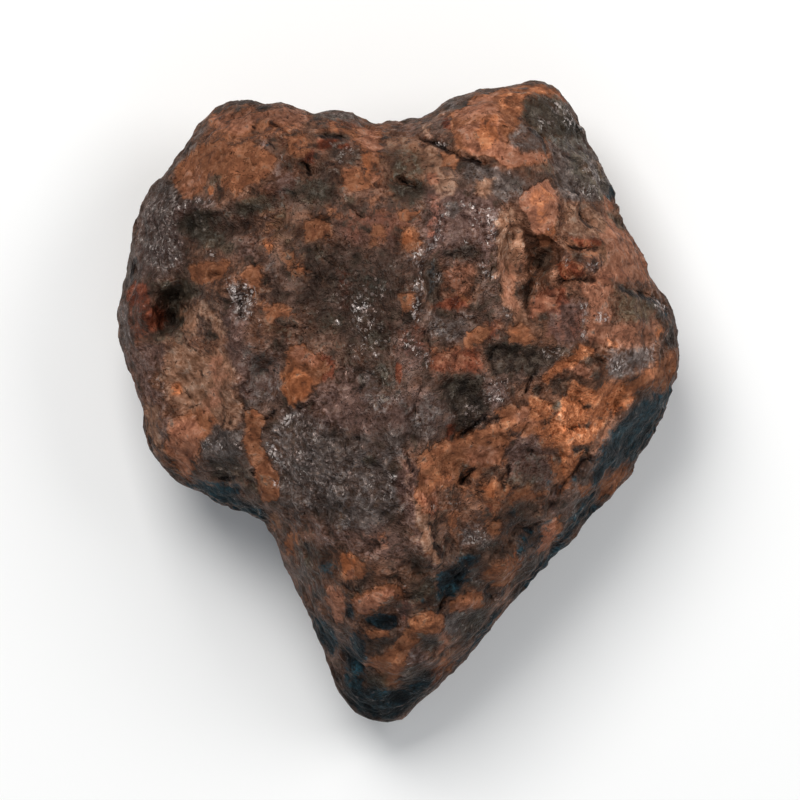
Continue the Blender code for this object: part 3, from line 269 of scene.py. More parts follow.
# ------------------------------------------------------------------------------------------------------------------
# Painted zones of the upper side, drawn on the same sheet. Each is a closed shape with its strength and the
# softness of its edge; noise breaks the edges up.
# ------------------------------------------------------------------------------------------------------------------
ZONES = {
    "brown": [
        ([(205, 106), (262, 102), (330, 112), (345, 150), (300, 200), (262, 212), (215, 204), (178, 198), (174, 176),
          (192, 140)], 0.75, 12),
        ([(330, 112), (400, 124), (440, 130), (450, 165), (420, 205), (380, 205), (340, 210), (325, 170)], 0.7, 12),
        ([(262, 205), (330, 205), (420, 210), (424, 250), (360, 256), (300, 250), (262, 300), (250, 292), (250, 240)],
         0.55, 12),
        ([(186, 240), (250, 252), (262, 300), (290, 305), (290, 340), (262, 345), (240, 300), (190, 284)], 0.6, 10),
        ([(440, 110), (500, 92), (560, 90), (560, 150), (560, 180), (520, 180), (470, 165), (440, 150)], 0.8, 10),
        ([(134, 338), (240, 336), (246, 420), (206, 440), (192, 484), (150, 456), (136, 390)], 0.8, 10),
        ([(500, 200), (610, 196), (655, 275), (680, 330), (680, 372), (640, 395), (606, 450), (560, 486), (520, 440),
          (500, 400), (560, 360), (500, 336), (522, 300), (498, 250)], 0.8, 12),
        ([(412, 450), (520, 425), (565, 480), (548, 520), (532, 556), (470, 560), (440, 540), (420, 500)], 0.6, 12),
        ([(270, 505), (340, 512), (380, 536), (440, 560), (520, 548), (536, 574), (486, 636), (440, 684), (404, 696),
          (372, 684), (345, 640), (305, 596)], 0.55, 12),
        ([(398, 440), (430, 450), (450, 566), (420, 562), (394, 500)], 0.6, 8),
        ([(432, 256), (478, 258), (476, 306), (436, 308)], 0.7, 8),
        ([(420, 342), (490, 330), (492, 372), (424, 380)], 0.65, 9),
        ([(300, 300), (350, 330), (340, 400), (300, 408), (276, 380)], 0.5, 9),
        ([(596, 480), (640, 456), (612, 500), (560, 548), (548, 552), (572, 514)], 0.5, 8),
        ([(180, 350), (250, 300), (290, 300), (290, 345), (250, 420), (200, 430)], 0.5, 10),
    ],
    "violet": [
        ([(142, 196), (205, 196), (220, 204), (186, 214), (178, 240), (186, 262), (232, 256), (260, 240), (262, 262),
          (190, 262), (150, 282), (132, 272), (132, 236)], 0.65, 8),
        ([(206, 163), (222, 160), (224, 174), (210, 182), (204, 176)], 0.6, 4),
        ([(222, 158), (234, 156), (236, 168), (224, 170)], 0.45, 4),
        ([(268, 160), (300, 172), (308, 196), (280, 200), (266, 190), (276, 178)], 0.55, 6),
        ([(258, 140), (268, 140), (268, 154), (260, 156)], 0.6, 3),
        ([(205, 124), (220, 126), (222, 138), (205, 140)], 0.5, 5),
        ([(340, 186), (372, 184), (384, 196), (372, 204), (344, 202)], 0.4, 6),
        ([(330, 212), (400, 212), (402, 250), (350, 256), (328, 240)], 0.4, 9),
        ([(424, 188), (446, 192), (500, 200), (500, 250), (484, 262), (470, 248), (440, 250), (430, 262), (420, 240),
          (424, 212)], 0.85, 8),
        ([(404, 124), (452, 118), (448, 138), (420, 142), (404, 138)], 0.4, 6),
        ([(232, 300), (250, 320), (250, 345), (262, 372), (256, 398), (240, 412), (228, 420), (222, 400), (234, 380),
          (228, 350), (222, 320)], 0.75, 6),
        ([(246, 346), (284, 344), (286, 372), (282, 400), (256, 404), (246, 390)], 0.55, 7),
        ([(130, 345), (168, 342), (164, 366), (152, 384), (168, 402), (150, 412), (138, 386), (126, 356)], 0.75, 7),
        ([(148, 405), (170, 408), (176, 440), (166, 456), (148, 446)], 0.5, 7),
        ([(200, 428), (218, 424), (222, 440), (206, 444)], 0.7, 4),
        ([(300, 385), (360, 372), (400, 392), (420, 385), (446, 400), (452, 424), (430, 440), (400, 440), (340, 436),
          (290, 430)], 0.65, 10),
        ([(400, 340), (424, 336), (428, 360), (404, 384), (392, 370)], 0.5, 6),
        ([(444, 332), (470, 328), (464, 342), (446, 346)], 0.7, 4),
        ([(478, 376), (500, 384), (508, 402), (500, 412), (484, 404)], 0.7, 5),
        ([(558, 300), (582, 300), (580, 340), (548, 344), (552, 318)], 0.7, 6),
        ([(556, 250), (606, 250), (606, 268), (582, 276), (556, 264)], 0.5, 5),
        ([(582, 262), (606, 260), (604, 278), (586, 278)], 0.7, 4),
        ([(620, 345), (652, 348), (650, 374), (626, 376)], 0.55, 6),
        ([(500, 184), (524, 186), (520, 204), (498, 204)], 0.4, 5),
        ([(406, 452), (420, 466), (418, 500), (428, 524), (440, 548), (448, 567), (434, 566), (418, 544), (400, 512),
          (392, 480)], 0.8, 5),
        ([(504, 425), (530, 424), (546, 440), (550, 470), (520, 462), (500, 450)], 0.6, 7),
        ([(548, 486), (572, 478), (566, 498), (558, 516), (546, 514)], 0.6, 5),
        ([(300, 520), (380, 510), (410, 540), (420, 556), (380, 566), (340, 548), (310, 548)], 0.55, 10),
        ([(398, 596), (412, 600), (412, 622), (400, 630), (396, 612)], 0.7, 4),
        ([(404, 644), (428, 648), (432, 664), (412, 668), (404, 658)], 0.7, 4),
        ([(468, 566), (482, 566), (482, 582), (470, 584)], 0.6, 4),
        ([(118, 300), (130, 300), (134, 350), (124, 348)], 0.6, 4),
        ([(480, 166), (520, 172), (522, 186), (490, 184)], 0.4, 6),
        ([(400, 466), (398, 440), (412, 452)], 0.4, 5),
        ([(444, 616), (462, 612), (460, 634), (446, 634)], 0.6, 4),
        ([(330, 634), (346, 630), (350, 648), (338, 660)], 0.5, 5),
        ([(470, 236), (496, 228), (496, 250), (478, 254)], 0.5, 5),
    ],
    "grey": [
        ([(138, 206), (152, 186), (180, 188), (200, 200), (182, 215), (186, 240), (190, 262), (165, 276), (140, 278),
          (130, 262)], 0.5, 9),
        ([(158, 180), (174, 176), (186, 196), (170, 200), (152, 194)], 0.6, 6),
        ([(205, 122), (212, 114), (208, 128), (198, 144), (186, 158), (168, 174), (159, 178), (176, 160), (192, 142)],
         0.65, 3),
        ([(230, 99), (244, 97), (264, 101), (254, 105), (238, 106)], 0.9, 2.5),
        ([(282, 107), (300, 110), (308, 116), (294, 114)], 0.6, 3),
        ([(308, 112), (330, 111), (356, 114), (360, 120), (340, 121), (314, 119)], 0.75, 3),
        ([(268, 440), (300, 404), (340, 430), (400, 430), (410, 440), (398, 480), (405, 510), (380, 531), (330, 530),
          (300, 512), (276, 496)], 0.64, 10),
        ([(282, 408), (306, 404), (300, 440), (280, 450), (266, 440)], 0.6, 6),
        ([(548, 141), (566, 137), (582, 140), (592, 152), (602, 166), (613, 186), (604, 198), (588, 205), (562, 201),
          (557, 188), (553, 172), (548, 158)], 0.8, 4),
        ([(462, 163), (484, 164), (500, 172), (522, 182), (524, 196), (502, 202), (486, 190), (462, 184)], 0.85, 5),
        ([(443, 205), (456, 202), (461, 212), (453, 220), (444, 217)], 0.9, 3),
        ([(600, 352), (622, 348), (652, 346), (656, 362), (634, 376), (606, 378)], 0.75, 6),
        ([(244, 346), (284, 344), (286, 400), (250, 412), (240, 400)], 0.5, 8),
        ([(238, 396), (256, 396), (258, 408), (242, 412)], 0.8, 4),
        ([(226, 280), (254, 278), (258, 318), (232, 322)], 0.45, 6),
        ([(521, 122), (529, 132), (541, 138), (547, 147), (545, 153), (516, 155), (507, 149), (509, 138)], 0.58, 2),
        ([(424, 312), (470, 312), (472, 340), (440, 348), (424, 334)], 0.55, 7),
        ([(458, 522), (490, 530), (504, 545), (480, 552), (460, 545)], 0.7, 6),
        ([(202, 430), (215, 424), (241, 430), (243, 455), (226, 459), (204, 462)], 0.8, 4),
        ([(400, 396), (446, 392), (456, 426), (430, 444), (404, 444)], 0.55, 8),
        ([(356, 366), (396, 364), (402, 398), (380, 430), (356, 400)], 0.5, 8),
        ([(326, 478), (338, 478), (340, 490), (330, 494), (324, 488)], 1.0, 2),
        ([(121, 250), (134, 236), (138, 260), (134, 286), (122, 290)], 0.9, 3),
        ([(117, 304), (126, 300), (128, 330), (134, 356), (128, 352), (120, 326)], 0.8, 3),
        ([(384, 140), (424, 142), (420, 178), (386, 176)], 0.3, 8),
        ([(444, 612), (463, 612), (462, 634), (446, 632)], 0.8, 3),
        ([(404, 646), (434, 648), (430, 664), (410, 668)], 0.4, 5),
        ([(662, 330), (672, 322), (679, 350), (680, 372), (672, 352)], 0.7, 3),
        ([(300, 556), (312, 560), (316, 590), (304, 596), (290, 574)], 0.5, 5),
        ([(262, 250), (280, 252), (282, 284), (264, 282)], 0.5, 5),
        ([(350, 262), (400, 262), (404, 296), (350, 300)], 0.35, 8),
        ([(374, 210), (386, 206), (388, 216), (374, 218)], 0.3, 4),
        ([(572, 404), (582, 404), (580, 412), (572, 412)], 0.2, 3),
        ([(440, 100), (452, 98), (460, 103), (450, 112), (440, 110)], 0.6, 3),
        ([(474, 90), (490, 88), (492, 92), (474, 93)], 0.8, 2),
        ([(572, 500), (590, 494), (586, 514), (574, 524), (570, 512)], 0.6, 4),
    ],
    "tan": [
        ([(166, 352), (185, 342), (200, 354), (214, 350), (230, 354), (234, 380), (232, 405), (214, 420), (196, 424),
          (182, 412), (174, 396), (164, 380), (170, 366)], 0.95, 7),
        ([(180, 308), (198, 302), (206, 308), (200, 326), (194, 340), (184, 330), (178, 318)], 0.9, 5),
        ([(204, 304), (224, 306), (228, 332), (222, 346), (206, 340)], 0.6, 6),
        ([(168, 340), (184, 332), (188, 344), (176, 352)], 0.8, 4),
        ([(181, 188), (192, 184), (203, 190), (201, 198), (184, 198)], 1.0, 3),
        ([(497, 216), (512, 212), (520, 235), (518, 262), (514, 296), (528, 322), (520, 326), (505, 312), (497, 290),
          (495, 260)], 1.0, 4),
        ([(600, 222), (622, 230), (642, 246), (650, 262), (652, 282), (622, 280), (600, 270), (592, 250)], 0.8, 7),
        ([(560, 202), (580, 204), (604, 214), (610, 226), (600, 236), (574, 236), (556, 226)], 0.6, 6),
        ([(584, 211), (596, 212), (600, 222), (588, 221)], 0.8, 3),
        ([(585, 322), (652, 320), (664, 336), (640, 348), (588, 346)], 0.55, 9),
        ([(384, 134), (432, 144), (448, 160), (456, 186), (448, 198), (432, 194), (424, 170), (400, 150), (384, 150)],
         0.65, 7),
        ([(474, 184), (490, 184), (492, 196), (476, 198)], 0.9, 4),
        ([(420, 450), (412, 470), (420, 500), (432, 520), (440, 545), (448, 567), (434, 564), (416, 540), (410, 520),
          (404, 480), (402, 460)], 0.35, 6),
        ([(146, 400), (158, 402), (160, 430), (166, 452), (154, 448), (146, 426)], 0.75, 4),
        ([(268, 513), (278, 512), (281, 524), (271, 527)], 0.9, 3),
        ([(212, 108), (222, 104), (226, 110), (216, 122)], 0.7, 3),
        ([(300, 116), (330, 120), (328, 130), (300, 130)], 0.5, 5),
        ([(560, 248), (600, 249), (600, 254), (562, 254)], 0.6, 3),
        ([(420, 520), (430, 526), (440, 548), (446, 566), (436, 562), (426, 544)], 0.7, 3),
        ([(201, 248), (206, 242), (214, 241), (220, 247), (212, 246), (206, 248)], 0.95, 1.5),
        ([(578, 160), (598, 158), (604, 176), (598, 186), (582, 178)], 0.5, 5),
        ([(322, 584), (334, 580), (344, 592), (346, 612), (342, 628), (334, 622), (326, 604)], 0.6, 4),
        ([(412, 612), (436, 606), (444, 614), (440, 628), (424, 628), (410, 634)], 0.6, 4),
        ([(306, 566), (312, 565), (313, 574), (307, 575)], 0.8, 2),
        ([(662, 380), (676, 372), (676, 386), (664, 394)], 0.5, 4),
        ([(418, 126), (430, 125), (432, 138), (420, 138)], 0.6, 3),
        ([(434, 630), (444, 626), (444, 660), (436, 664)], 0.5, 4),
        ([(470, 340), (476, 338), (476, 350), (468, 352)], 0.6, 3),
        ([(352, 608), (364, 606), (362, 616), (352, 618)], 0.4, 3),
        ([(200, 400), (236, 398), (222, 420), (206, 428)], 0.5, 5),
        ([(655, 310), (664, 316), (664, 330), (656, 326)], 0.3, 4),
    ],
    "red": [
        ([(128, 284), (150, 281), (158, 300), (167, 315), (165, 335), (150, 344), (132, 343), (126, 320)], 0.45, 8),
        ([(128, 288), (136, 282), (147, 283), (150, 294), (146, 304), (134, 306), (127, 300)], 0.85, 4),
        ([(150, 309), (160, 305), (167, 317), (164, 332), (154, 336), (147, 326)], 0.95, 4),
        ([(318, 352), (332, 356), (335, 378), (324, 382), (316, 366)], 0.95, 4),
        ([(396, 364), (402, 366), (402, 383), (397, 382)], 1.0, 2), ([(556, 264), (578, 263), (582, 276), (560, 280)],
                                                                    1.0, 3),
        ([(566, 238), (584, 240), (602, 241), (600, 248), (580, 250), (571, 245)], 0.95, 2),
        ([(526, 304), (540, 290), (562, 286), (570, 300), (558, 314), (530, 320)], 0.75, 6),
        ([(425, 350), (480, 346), (480, 374), (430, 376)], 0.7, 7), ([(436, 266), (474, 264), (472, 296), (438, 300)],
                                                                    0.40, 6),
        ([(432, 304), (446, 300), (460, 293), (470, 297), (467, 307), (452, 312), (436, 312)], 0.7, 4),
        ([(316, 142), (350, 144), (350, 152), (320, 152)], 0.8, 3), ([(304, 154), (314, 152), (314, 166), (304, 168)],
                                                                    0.8, 3),
        ([(540, 330), (562, 306), (582, 306), (582, 340), (548, 346)], 0.35, 7),
        ([(416, 488), (434, 488), (438, 508), (432, 516), (420, 512)], 0.8, 4),
        ([(372, 126), (384, 128), (384, 150), (374, 148)], 0.7, 5), ([(484, 500), (498, 500), (498, 510), (486, 511)],
                                                                    0.9, 3),
        ([(180, 466), (196, 466), (194, 482), (182, 480)], 0.5, 5),
        ([(338, 270), (350, 270), (352, 312), (340, 312)], 0.55, 5),
        ([(310, 585), (320, 584), (320, 590), (312, 593)], 0.9, 2),
        ([(262, 122), (284, 124), (290, 134), (264, 134)], 0.5, 4),
        ([(440, 118), (450, 120), (449, 134), (440, 128)], 0.8, 3),
        ([(484, 322), (500, 322), (498, 340), (486, 340)], 0.6, 5),
        ([(400, 330), (424, 322), (430, 350), (404, 360)], 0.4, 6),
        ([(444, 424), (458, 424), (452, 440), (444, 440)], 0.7, 3),
        ([(386, 326), (404, 326), (400, 336), (388, 334)], 0.5, 4),
        ([(398, 596), (410, 598), (408, 622), (400, 622)], 0.4, 4),
        ([(428, 664), (450, 660), (446, 682), (430, 690)], 0.5, 5),
        ([(300, 118), (370, 122), (372, 134), (330, 134), (300, 126)], 0.45, 5),
        ([(426, 190), (444, 200), (436, 240), (424, 244)], 0.4, 5),
    ],
    "rust": [
        ([(212, 106), (262, 106), (300, 116), (300, 135), (262, 140), (256, 150), (230, 146), (214, 152), (205, 134)],
         0.6, 7),
        ([(172, 182), (180, 166), (200, 148), (222, 141), (240, 148), (262, 150), (276, 158), (277, 170), (268, 178),
          (258, 187), (236, 195), (226, 190), (222, 178), (210, 176), (205, 188), (196, 198), (184, 198), (176, 188)],
         0.95, 4),
        ([(286, 138), (304, 134), (312, 146), (300, 160), (288, 152)], 0.75, 4),
        ([(296, 150), (314, 152), (306, 160), (296, 160)], 0.8, 3),
        ([(330, 124), (352, 128), (384, 128), (384, 150), (378, 170), (382, 186), (362, 188), (364, 160), (352, 140),
          (330, 134)], 0.8, 5),
        ([(341, 170), (356, 165), (364, 176), (376, 190), (352, 195), (340, 184)], 0.8, 4),
        ([(188, 270), (196, 264), (207, 262), (216, 267), (222, 260), (234, 262), (230, 275), (220, 283), (200, 284),
          (192, 280)], 0.95, 3),
        ([(241, 276), (250, 266), (262, 265), (262, 282), (258, 296), (252, 288), (244, 284)], 0.9, 3),
        ([(263, 243), (272, 241), (276, 248), (268, 253)], 0.9, 2.5),
        ([(284, 254), (296, 251), (298, 262), (288, 270)], 0.75, 4),
        ([(296, 262), (304, 266), (312, 276), (302, 278), (294, 274)], 0.9, 3),
        ([(305, 221), (322, 216), (333, 224), (326, 240), (308, 242)], 0.85, 4),
        ([(262, 308), (272, 303), (290, 306), (298, 314), (288, 322), (270, 320)], 0.8, 5),
        ([(264, 214), (286, 214), (284, 240), (264, 238)], 0.4, 6),
        ([(284, 372), (290, 350), (305, 345), (322, 356), (328, 372), (318, 390), (306, 402), (296, 405), (286, 402),
          (282, 388)], 1.0, 4),
        ([(247, 412), (258, 410), (266, 424), (260, 444), (270, 458), (281, 475), (279, 498), (263, 500), (258, 480),
          (252, 462), (244, 446)], 1.0, 3),
        ([(170, 425), (190, 413), (208, 410), (216, 420), (206, 440), (200, 448), (196, 464), (190, 481), (178, 470),
          (162, 452)], 0.85, 5),
        ([(452, 140), (450, 120), (460, 107), (470, 98), (490, 93), (525, 87), (556, 86), (568, 99), (540, 95),
          (527, 97), (522, 106), (518, 120), (507, 140), (507, 151), (530, 157), (547, 155), (547, 163), (530, 168),
          (508, 171), (500, 165), (486, 157), (470, 156), (458, 150)], 1.0, 3),
        ([(440, 154), (456, 155), (462, 164), (456, 172), (442, 168)], 0.8, 4),
        ([(400, 210), (418, 210), (422, 222), (404, 222)], 0.85, 3),
        ([(400, 232), (414, 230), (422, 244), (412, 254), (400, 250)], 0.9, 3),
        ([(372, 226), (388, 230), (386, 246), (372, 244)], 0.6, 4),
        ([(556, 238), (600, 243), (636, 252), (645, 275), (612, 283), (604, 300), (612, 316), (590, 322), (576, 300),
          (562, 286)], 0.4, 8),
        ([(505, 328), (522, 325), (534, 338), (530, 346), (508, 343)], 0.9, 4),
        ([(464, 336), (478, 326), (492, 330), (482, 344), (466, 352)], 0.9, 4),
        ([(400, 297), (414, 295), (414, 314), (404, 314)], 0.9, 3),
        ([(458, 294), (468, 295), (467, 304), (458, 303)], 0.8, 2.5),
        ([(425, 350), (462, 346), (468, 360), (456, 368), (434, 372)], 0.5, 7),
        ([(418, 460), (430, 446), (456, 434), (474, 428), (500, 420), (510, 436), (500, 466), (484, 472), (456, 484),
          (432, 488), (430, 512), (420, 510), (416, 484)], 0.92, 5),
        ([(480, 478), (500, 482), (520, 486), (546, 492), (538, 500), (500, 503), (492, 512), (482, 500)], 0.85, 5),
        ([(446, 508), (458, 510), (460, 530), (448, 530)], 0.75, 4), ([(486, 516), (500, 520), (500, 536), (486, 534)],
                                                                     0.75, 4),
        ([(546, 454), (560, 462), (570, 478), (562, 484), (548, 470)], 0.8, 4),
        ([(338, 560), (344, 552), (353, 552), (363, 561), (371, 572), (360, 578), (346, 577)], 0.95, 3),
        ([(350, 598), (372, 586), (390, 578), (406, 582), (404, 596), (384, 604), (364, 612), (354, 606)], 1.0, 4),
        ([(365, 628), (390, 628), (392, 635), (368, 636)], 0.95, 2),
        ([(404, 632), (414, 613), (430, 608), (445, 614), (445, 632), (427, 630), (416, 640), (406, 646)], 1.0, 3),
        ([(369, 664), (373, 657), (386, 650), (394, 638), (404, 632), (414, 642), (406, 660), (404, 677), (394, 687),
          (385, 684), (377, 672)], 1.0, 3),
        ([(448, 602), (462, 592), (480, 590), (486, 604), (474, 610), (466, 606), (452, 612)], 1.0, 3),
        ([(477, 574), (492, 562), (508, 556), (522, 558), (524, 568), (512, 578), (505, 588), (494, 584)], 0.95, 4),
        ([(544, 520), (562, 514), (563, 528), (554, 540), (548, 550), (536, 554), (535, 546), (540, 534)], 1.0, 2),
        ([(598, 482), (612, 468), (636, 457), (624, 480), (610, 498), (598, 500)], 0.9, 4),
        ([(576, 488), (590, 478), (594, 490), (580, 500)], 0.7, 3),
        ([(612, 452), (622, 446), (626, 456), (616, 462)], 0.7, 3),
        ([(616, 386), (640, 372), (664, 356), (678, 344), (680, 362), (672, 384), (650, 394), (626, 400)], 0.85, 5),
        ([(496, 412), (530, 402), (550, 426), (526, 434), (504, 430)], 0.9, 5),
        ([(268, 516), (276, 514), (280, 530), (270, 528)], 0.5, 4), ([(286, 532), (298, 530), (296, 556), (284, 552)],
                                                                    0.7, 4),
        ([(440, 660), (452, 652), (456, 668), (440, 684), (430, 678)], 0.5, 6),
        ([(362, 530), (390, 530), (392, 546), (366, 546)], 0.4, 6),
        ([(482, 322), (496, 300), (498, 330), (484, 340)], 0.4, 6),
        ([(324, 210), (350, 208), (352, 222), (326, 222)], 0.4, 5),
        ([(372, 664), (382, 662), (382, 676), (372, 672)], 0.5, 3),
        ([(172, 384), (184, 382), (184, 396), (174, 396)], 0.9, 2.5),
        ([(300, 274), (336, 276), (340, 296), (304, 296)], 0.35, 7),
    ],
    "rose": [
        ([(215, 112), (300, 110), (310, 122), (300, 132), (262, 122), (240, 136), (216, 130)], 0.7, 5),
        ([(182, 176), (196, 168), (206, 178), (202, 196), (184, 198), (178, 188)], 0.5, 5),
        ([(360, 132), (378, 128), (384, 150), (374, 160), (362, 150)], 0.8, 5),
        ([(370, 172), (380, 172), (382, 186), (372, 188)], 0.5, 4),
        ([(427, 175), (437, 175), (438, 185), (429, 186)], 1.0, 2.5),
        ([(456, 130), (476, 120), (500, 120), (506, 148), (547, 155), (547, 163), (508, 170), (488, 157), (466, 154)],
         0.75, 5),
        ([(456, 110), (476, 96), (494, 96), (500, 116), (470, 122), (456, 124)], 0.7, 5),
        ([(560, 90), (570, 102), (562, 104), (554, 96)], 0.9, 2),
        ([(524, 192), (535, 184), (545, 181), (551, 190), (555, 200), (557, 216), (551, 226), (543, 238), (536, 238),
          (529, 230), (525, 216), (516, 208), (518, 200)], 1.0, 2.5),
        ([(602, 196), (613, 200), (614, 210), (604, 209)], 1.0, 2.5),
        ([(604, 214), (624, 230), (642, 244), (650, 264), (650, 284), (628, 282), (612, 284), (604, 300), (608, 316),
          (586, 322), (580, 300), (566, 286), (590, 276), (606, 262), (600, 244), (604, 232)], 0.85, 6),
        ([(582, 300), (600, 296), (612, 316), (600, 346), (584, 344)], 0.85, 5),
        ([(596, 322), (652, 320), (664, 328), (656, 346), (620, 348), (600, 346)], 0.65, 7),
        ([(494, 262), (520, 262), (516, 296), (530, 320), (518, 326), (502, 310), (496, 290)], 0.5, 4),
        ([(526, 304), (544, 292), (560, 292), (556, 310), (532, 318)], 0.7, 5),
        ([(426, 352), (462, 350), (474, 362), (456, 370), (432, 372)], 0.5, 6),
        ([(438, 266), (474, 264), (476, 284), (468, 296), (440, 298)], 0.5, 5),
        ([(170, 424), (196, 416), (204, 430), (198, 450), (192, 470), (180, 466), (166, 446)], 0.85, 5),
        ([(206, 352), (224, 356), (232, 380), (226, 404), (206, 420), (202, 400), (214, 384)], 0.6, 5),
        ([(300, 346), (320, 356), (320, 368), (298, 366), (288, 356)], 0.7, 4),
        ([(556, 360), (576, 362), (590, 368), (594, 378), (584, 379), (568, 370), (554, 374), (542, 378), (544, 368)],
         0.8, 2.5),
        ([(520, 402), (536, 402), (546, 424), (520, 426), (502, 420)], 0.6, 5),
        ([(610, 380), (630, 374), (612, 396), (602, 396)], 0.6, 4),
        ([(430, 474), (454, 474), (452, 482), (432, 484), (420, 478)], 0.8, 3),
        ([(418, 490), (436, 490), (436, 512), (422, 512)], 0.7, 3),
        ([(460, 446), (500, 444), (498, 466), (474, 470)], 0.6, 6),
        ([(544, 520), (558, 518), (554, 540), (546, 551), (536, 553), (540, 534)], 1.0, 2),
        ([(324, 584), (336, 581), (344, 592), (346, 612), (341, 627), (333, 620), (326, 602)], 0.75, 3),
        ([(354, 600), (374, 590), (392, 584), (398, 594), (380, 604), (362, 612)], 0.9, 3),
        ([(346, 566), (354, 565), (354, 575), (347, 575)], 0.8, 2),
        ([(440, 628), (448, 630), (446, 650), (440, 658), (436, 648)], 0.7, 3),
        ([(452, 602), (470, 598), (474, 606), (456, 611)], 0.6, 3),
        ([(196, 470), (190, 482), (180, 478), (182, 464)], 0.6, 3),
        ([(240, 262), (262, 262), (250, 270)], 0.3, 4),
        ([(460, 266), (474, 264), (474, 280), (464, 284)], 0.4, 4),
        ([(386, 186), (398, 192), (396, 200), (386, 196)], 0.6, 3),
    ],
    "bright": [
        ([(540, 376), (548, 366), (562, 360), (572, 348), (590, 346), (597, 352), (580, 360), (570, 368), (552, 374),
          (544, 384)], 0.9, 3),
        ([(556, 386), (572, 380), (588, 390), (606, 388), (608, 410), (601, 424), (590, 440), (582, 452), (576, 466),
          (566, 480), (560, 474), (562, 456), (552, 444), (546, 426), (560, 412), (562, 398)], 1.0, 4),
        ([(528, 396), (546, 398), (556, 412), (546, 424), (530, 420), (524, 408)], 0.7, 5),
        ([(478, 118), (498, 118), (502, 140), (492, 152), (478, 150), (474, 134)], 0.65, 5),
        ([(500, 92), (520, 90), (514, 104), (504, 116), (498, 104)], 0.5, 4),
        ([(528, 88), (550, 88), (548, 94), (530, 95)], 0.6, 3),
        ([(530, 188), (546, 184), (552, 200), (550, 216), (540, 234), (532, 226), (528, 206)], 0.45, 4),
        ([(285, 375), (296, 368), (308, 376), (318, 382), (312, 394), (300, 403), (289, 402), (284, 390)], 0.85, 3),
        ([(425, 472), (440, 470), (452, 476), (444, 484), (428, 484)], 0.6, 3),
        ([(484, 482), (492, 484), (498, 496), (490, 498), (482, 490)], 0.8, 2.5),
        ([(341, 556), (352, 553), (356, 564), (345, 571)], 1.0, 2.5),
        ([(406, 616), (436, 610), (444, 618), (440, 628), (420, 626), (408, 642), (400, 640)], 0.4, 4),
        ([(512, 547), (517, 549), (524, 560), (516, 562)], 1.0, 1.5), ([(604, 480), (628, 462), (622, 480), (604, 496)],
                                                                      0.4, 4),
        ([(360, 150), (372, 158), (374, 176), (364, 176)], 0.6, 4),
        ([(402, 236), (411, 233), (414, 242), (406, 248), (401, 246)], 0.9, 2),
        ([(208, 189), (214, 187), (217, 194), (210, 197)], 1.0, 1.5),
        ([(263, 243), (272, 242), (275, 248), (267, 251)], 0.6, 2), ([(297, 264), (306, 270), (304, 275), (296, 272)],
                                                                   0.6, 2),
        ([(174, 386), (182, 384), (183, 393), (175, 395)], 0.8, 2), ([(652, 328), (664, 326), (668, 334), (656, 340)],
                                                                    0.6, 3),
        ([(601, 340), (616, 342), (614, 350), (602, 350)], 0.5, 3), ([(510, 330), (520, 328), (526, 336), (512, 340)],
                                                                    0.4, 3),
        ([(618, 388), (640, 376), (650, 378), (626, 398)], 0.35, 4),
        ([(500, 414), (516, 414), (518, 426), (502, 426)], 0.4, 4),
        ([(386, 664), (396, 650), (404, 662), (398, 682), (388, 680)], 0.3, 4),
        ([(248, 428), (256, 428), (258, 446), (250, 446)], 0.2, 4),
        ([(466, 332), (476, 330), (476, 340), (466, 342)], 0.5, 3),
        ([(600, 466), (606, 452), (612, 456), (606, 468)], 0.3, 2),
    ],
    "olive": [
        ([(184, 214), (200, 210), (214, 215), (214, 232), (226, 240), (238, 250), (226, 255), (210, 245), (196, 241),
          (186, 232), (176, 226)], 1.0, 4),
        ([(236, 206), (250, 199), (272, 198), (268, 212), (250, 217), (238, 213)], 0.95, 4),
        ([(292, 188), (312, 183), (334, 186), (332, 204), (310, 210), (296, 204)], 0.75, 6),
        ([(262, 214), (290, 214), (300, 240), (290, 252), (270, 240)], 0.5, 7),
        ([(210, 178), (222, 175), (222, 186), (211, 188)], 0.8, 3),
        ([(385, 148), (424, 150), (426, 182), (400, 190), (386, 178)], 0.6, 7),
        ([(388, 184), (426, 180), (430, 198), (410, 206), (390, 200)], 0.7, 5),
        ([(346, 196), (358, 200), (354, 208), (346, 206)], 0.7, 3),
        # the left pit, whose dark olive is partly painted shade
        ([(162, 284), (180, 282), (202, 284), (196, 298), (182, 302), (180, 326), (174, 334), (171, 310), (164, 296)], 0.9, 3.5),
        ([(152, 336), (172, 330), (172, 342), (156, 344)], 0.6, 3),
        ([(526, 97), (545, 96), (560, 98), (567, 105), (573, 117), (582, 130), (586, 138), (574, 138), (556, 140),
          (540, 139), (528, 130), (522, 118), (524, 105)], 0.85, 3),
        ([(538, 166), (552, 166), (554, 180), (540, 180)], 0.6, 4),
        ([(606, 212), (618, 216), (626, 228), (624, 236), (614, 226)], 0.8, 3),
        ([(614, 290), (640, 297), (656, 303), (652, 318), (630, 322), (616, 316)], 0.85, 4),
        ([(500, 344), (514, 344), (522, 352), (508, 354)], 0.9, 3),
        ([(446, 380), (480, 378), (480, 396), (448, 400)], 0.5, 5),
        ([(546, 402), (558, 400), (560, 412), (548, 412)], 0.8, 3),
        ([(372, 362), (398, 362), (398, 400), (380, 396)], 0.55, 6),
        ([(500, 470), (540, 468), (540, 496), (504, 492)], 0.45, 7),
        ([(470, 466), (478, 460), (480, 468), (468, 474)], 0.7, 2.5),
        ([(466, 420), (480, 416), (474, 428), (466, 430)], 0.7, 3),
        ([(300, 540), (316, 543), (312, 566), (302, 562)], 0.6, 4),
        ([(404, 576), (438, 572), (440, 596), (410, 606), (402, 594)], 0.6, 5),
        ([(366, 676), (384, 672), (396, 690), (380, 698), (368, 690)], 0.7, 4),
        ([(462, 614), (492, 604), (486, 626), (466, 636)], 0.6, 5),
        ([(306, 242), (324, 244), (330, 262), (310, 262)], 0.5, 6),
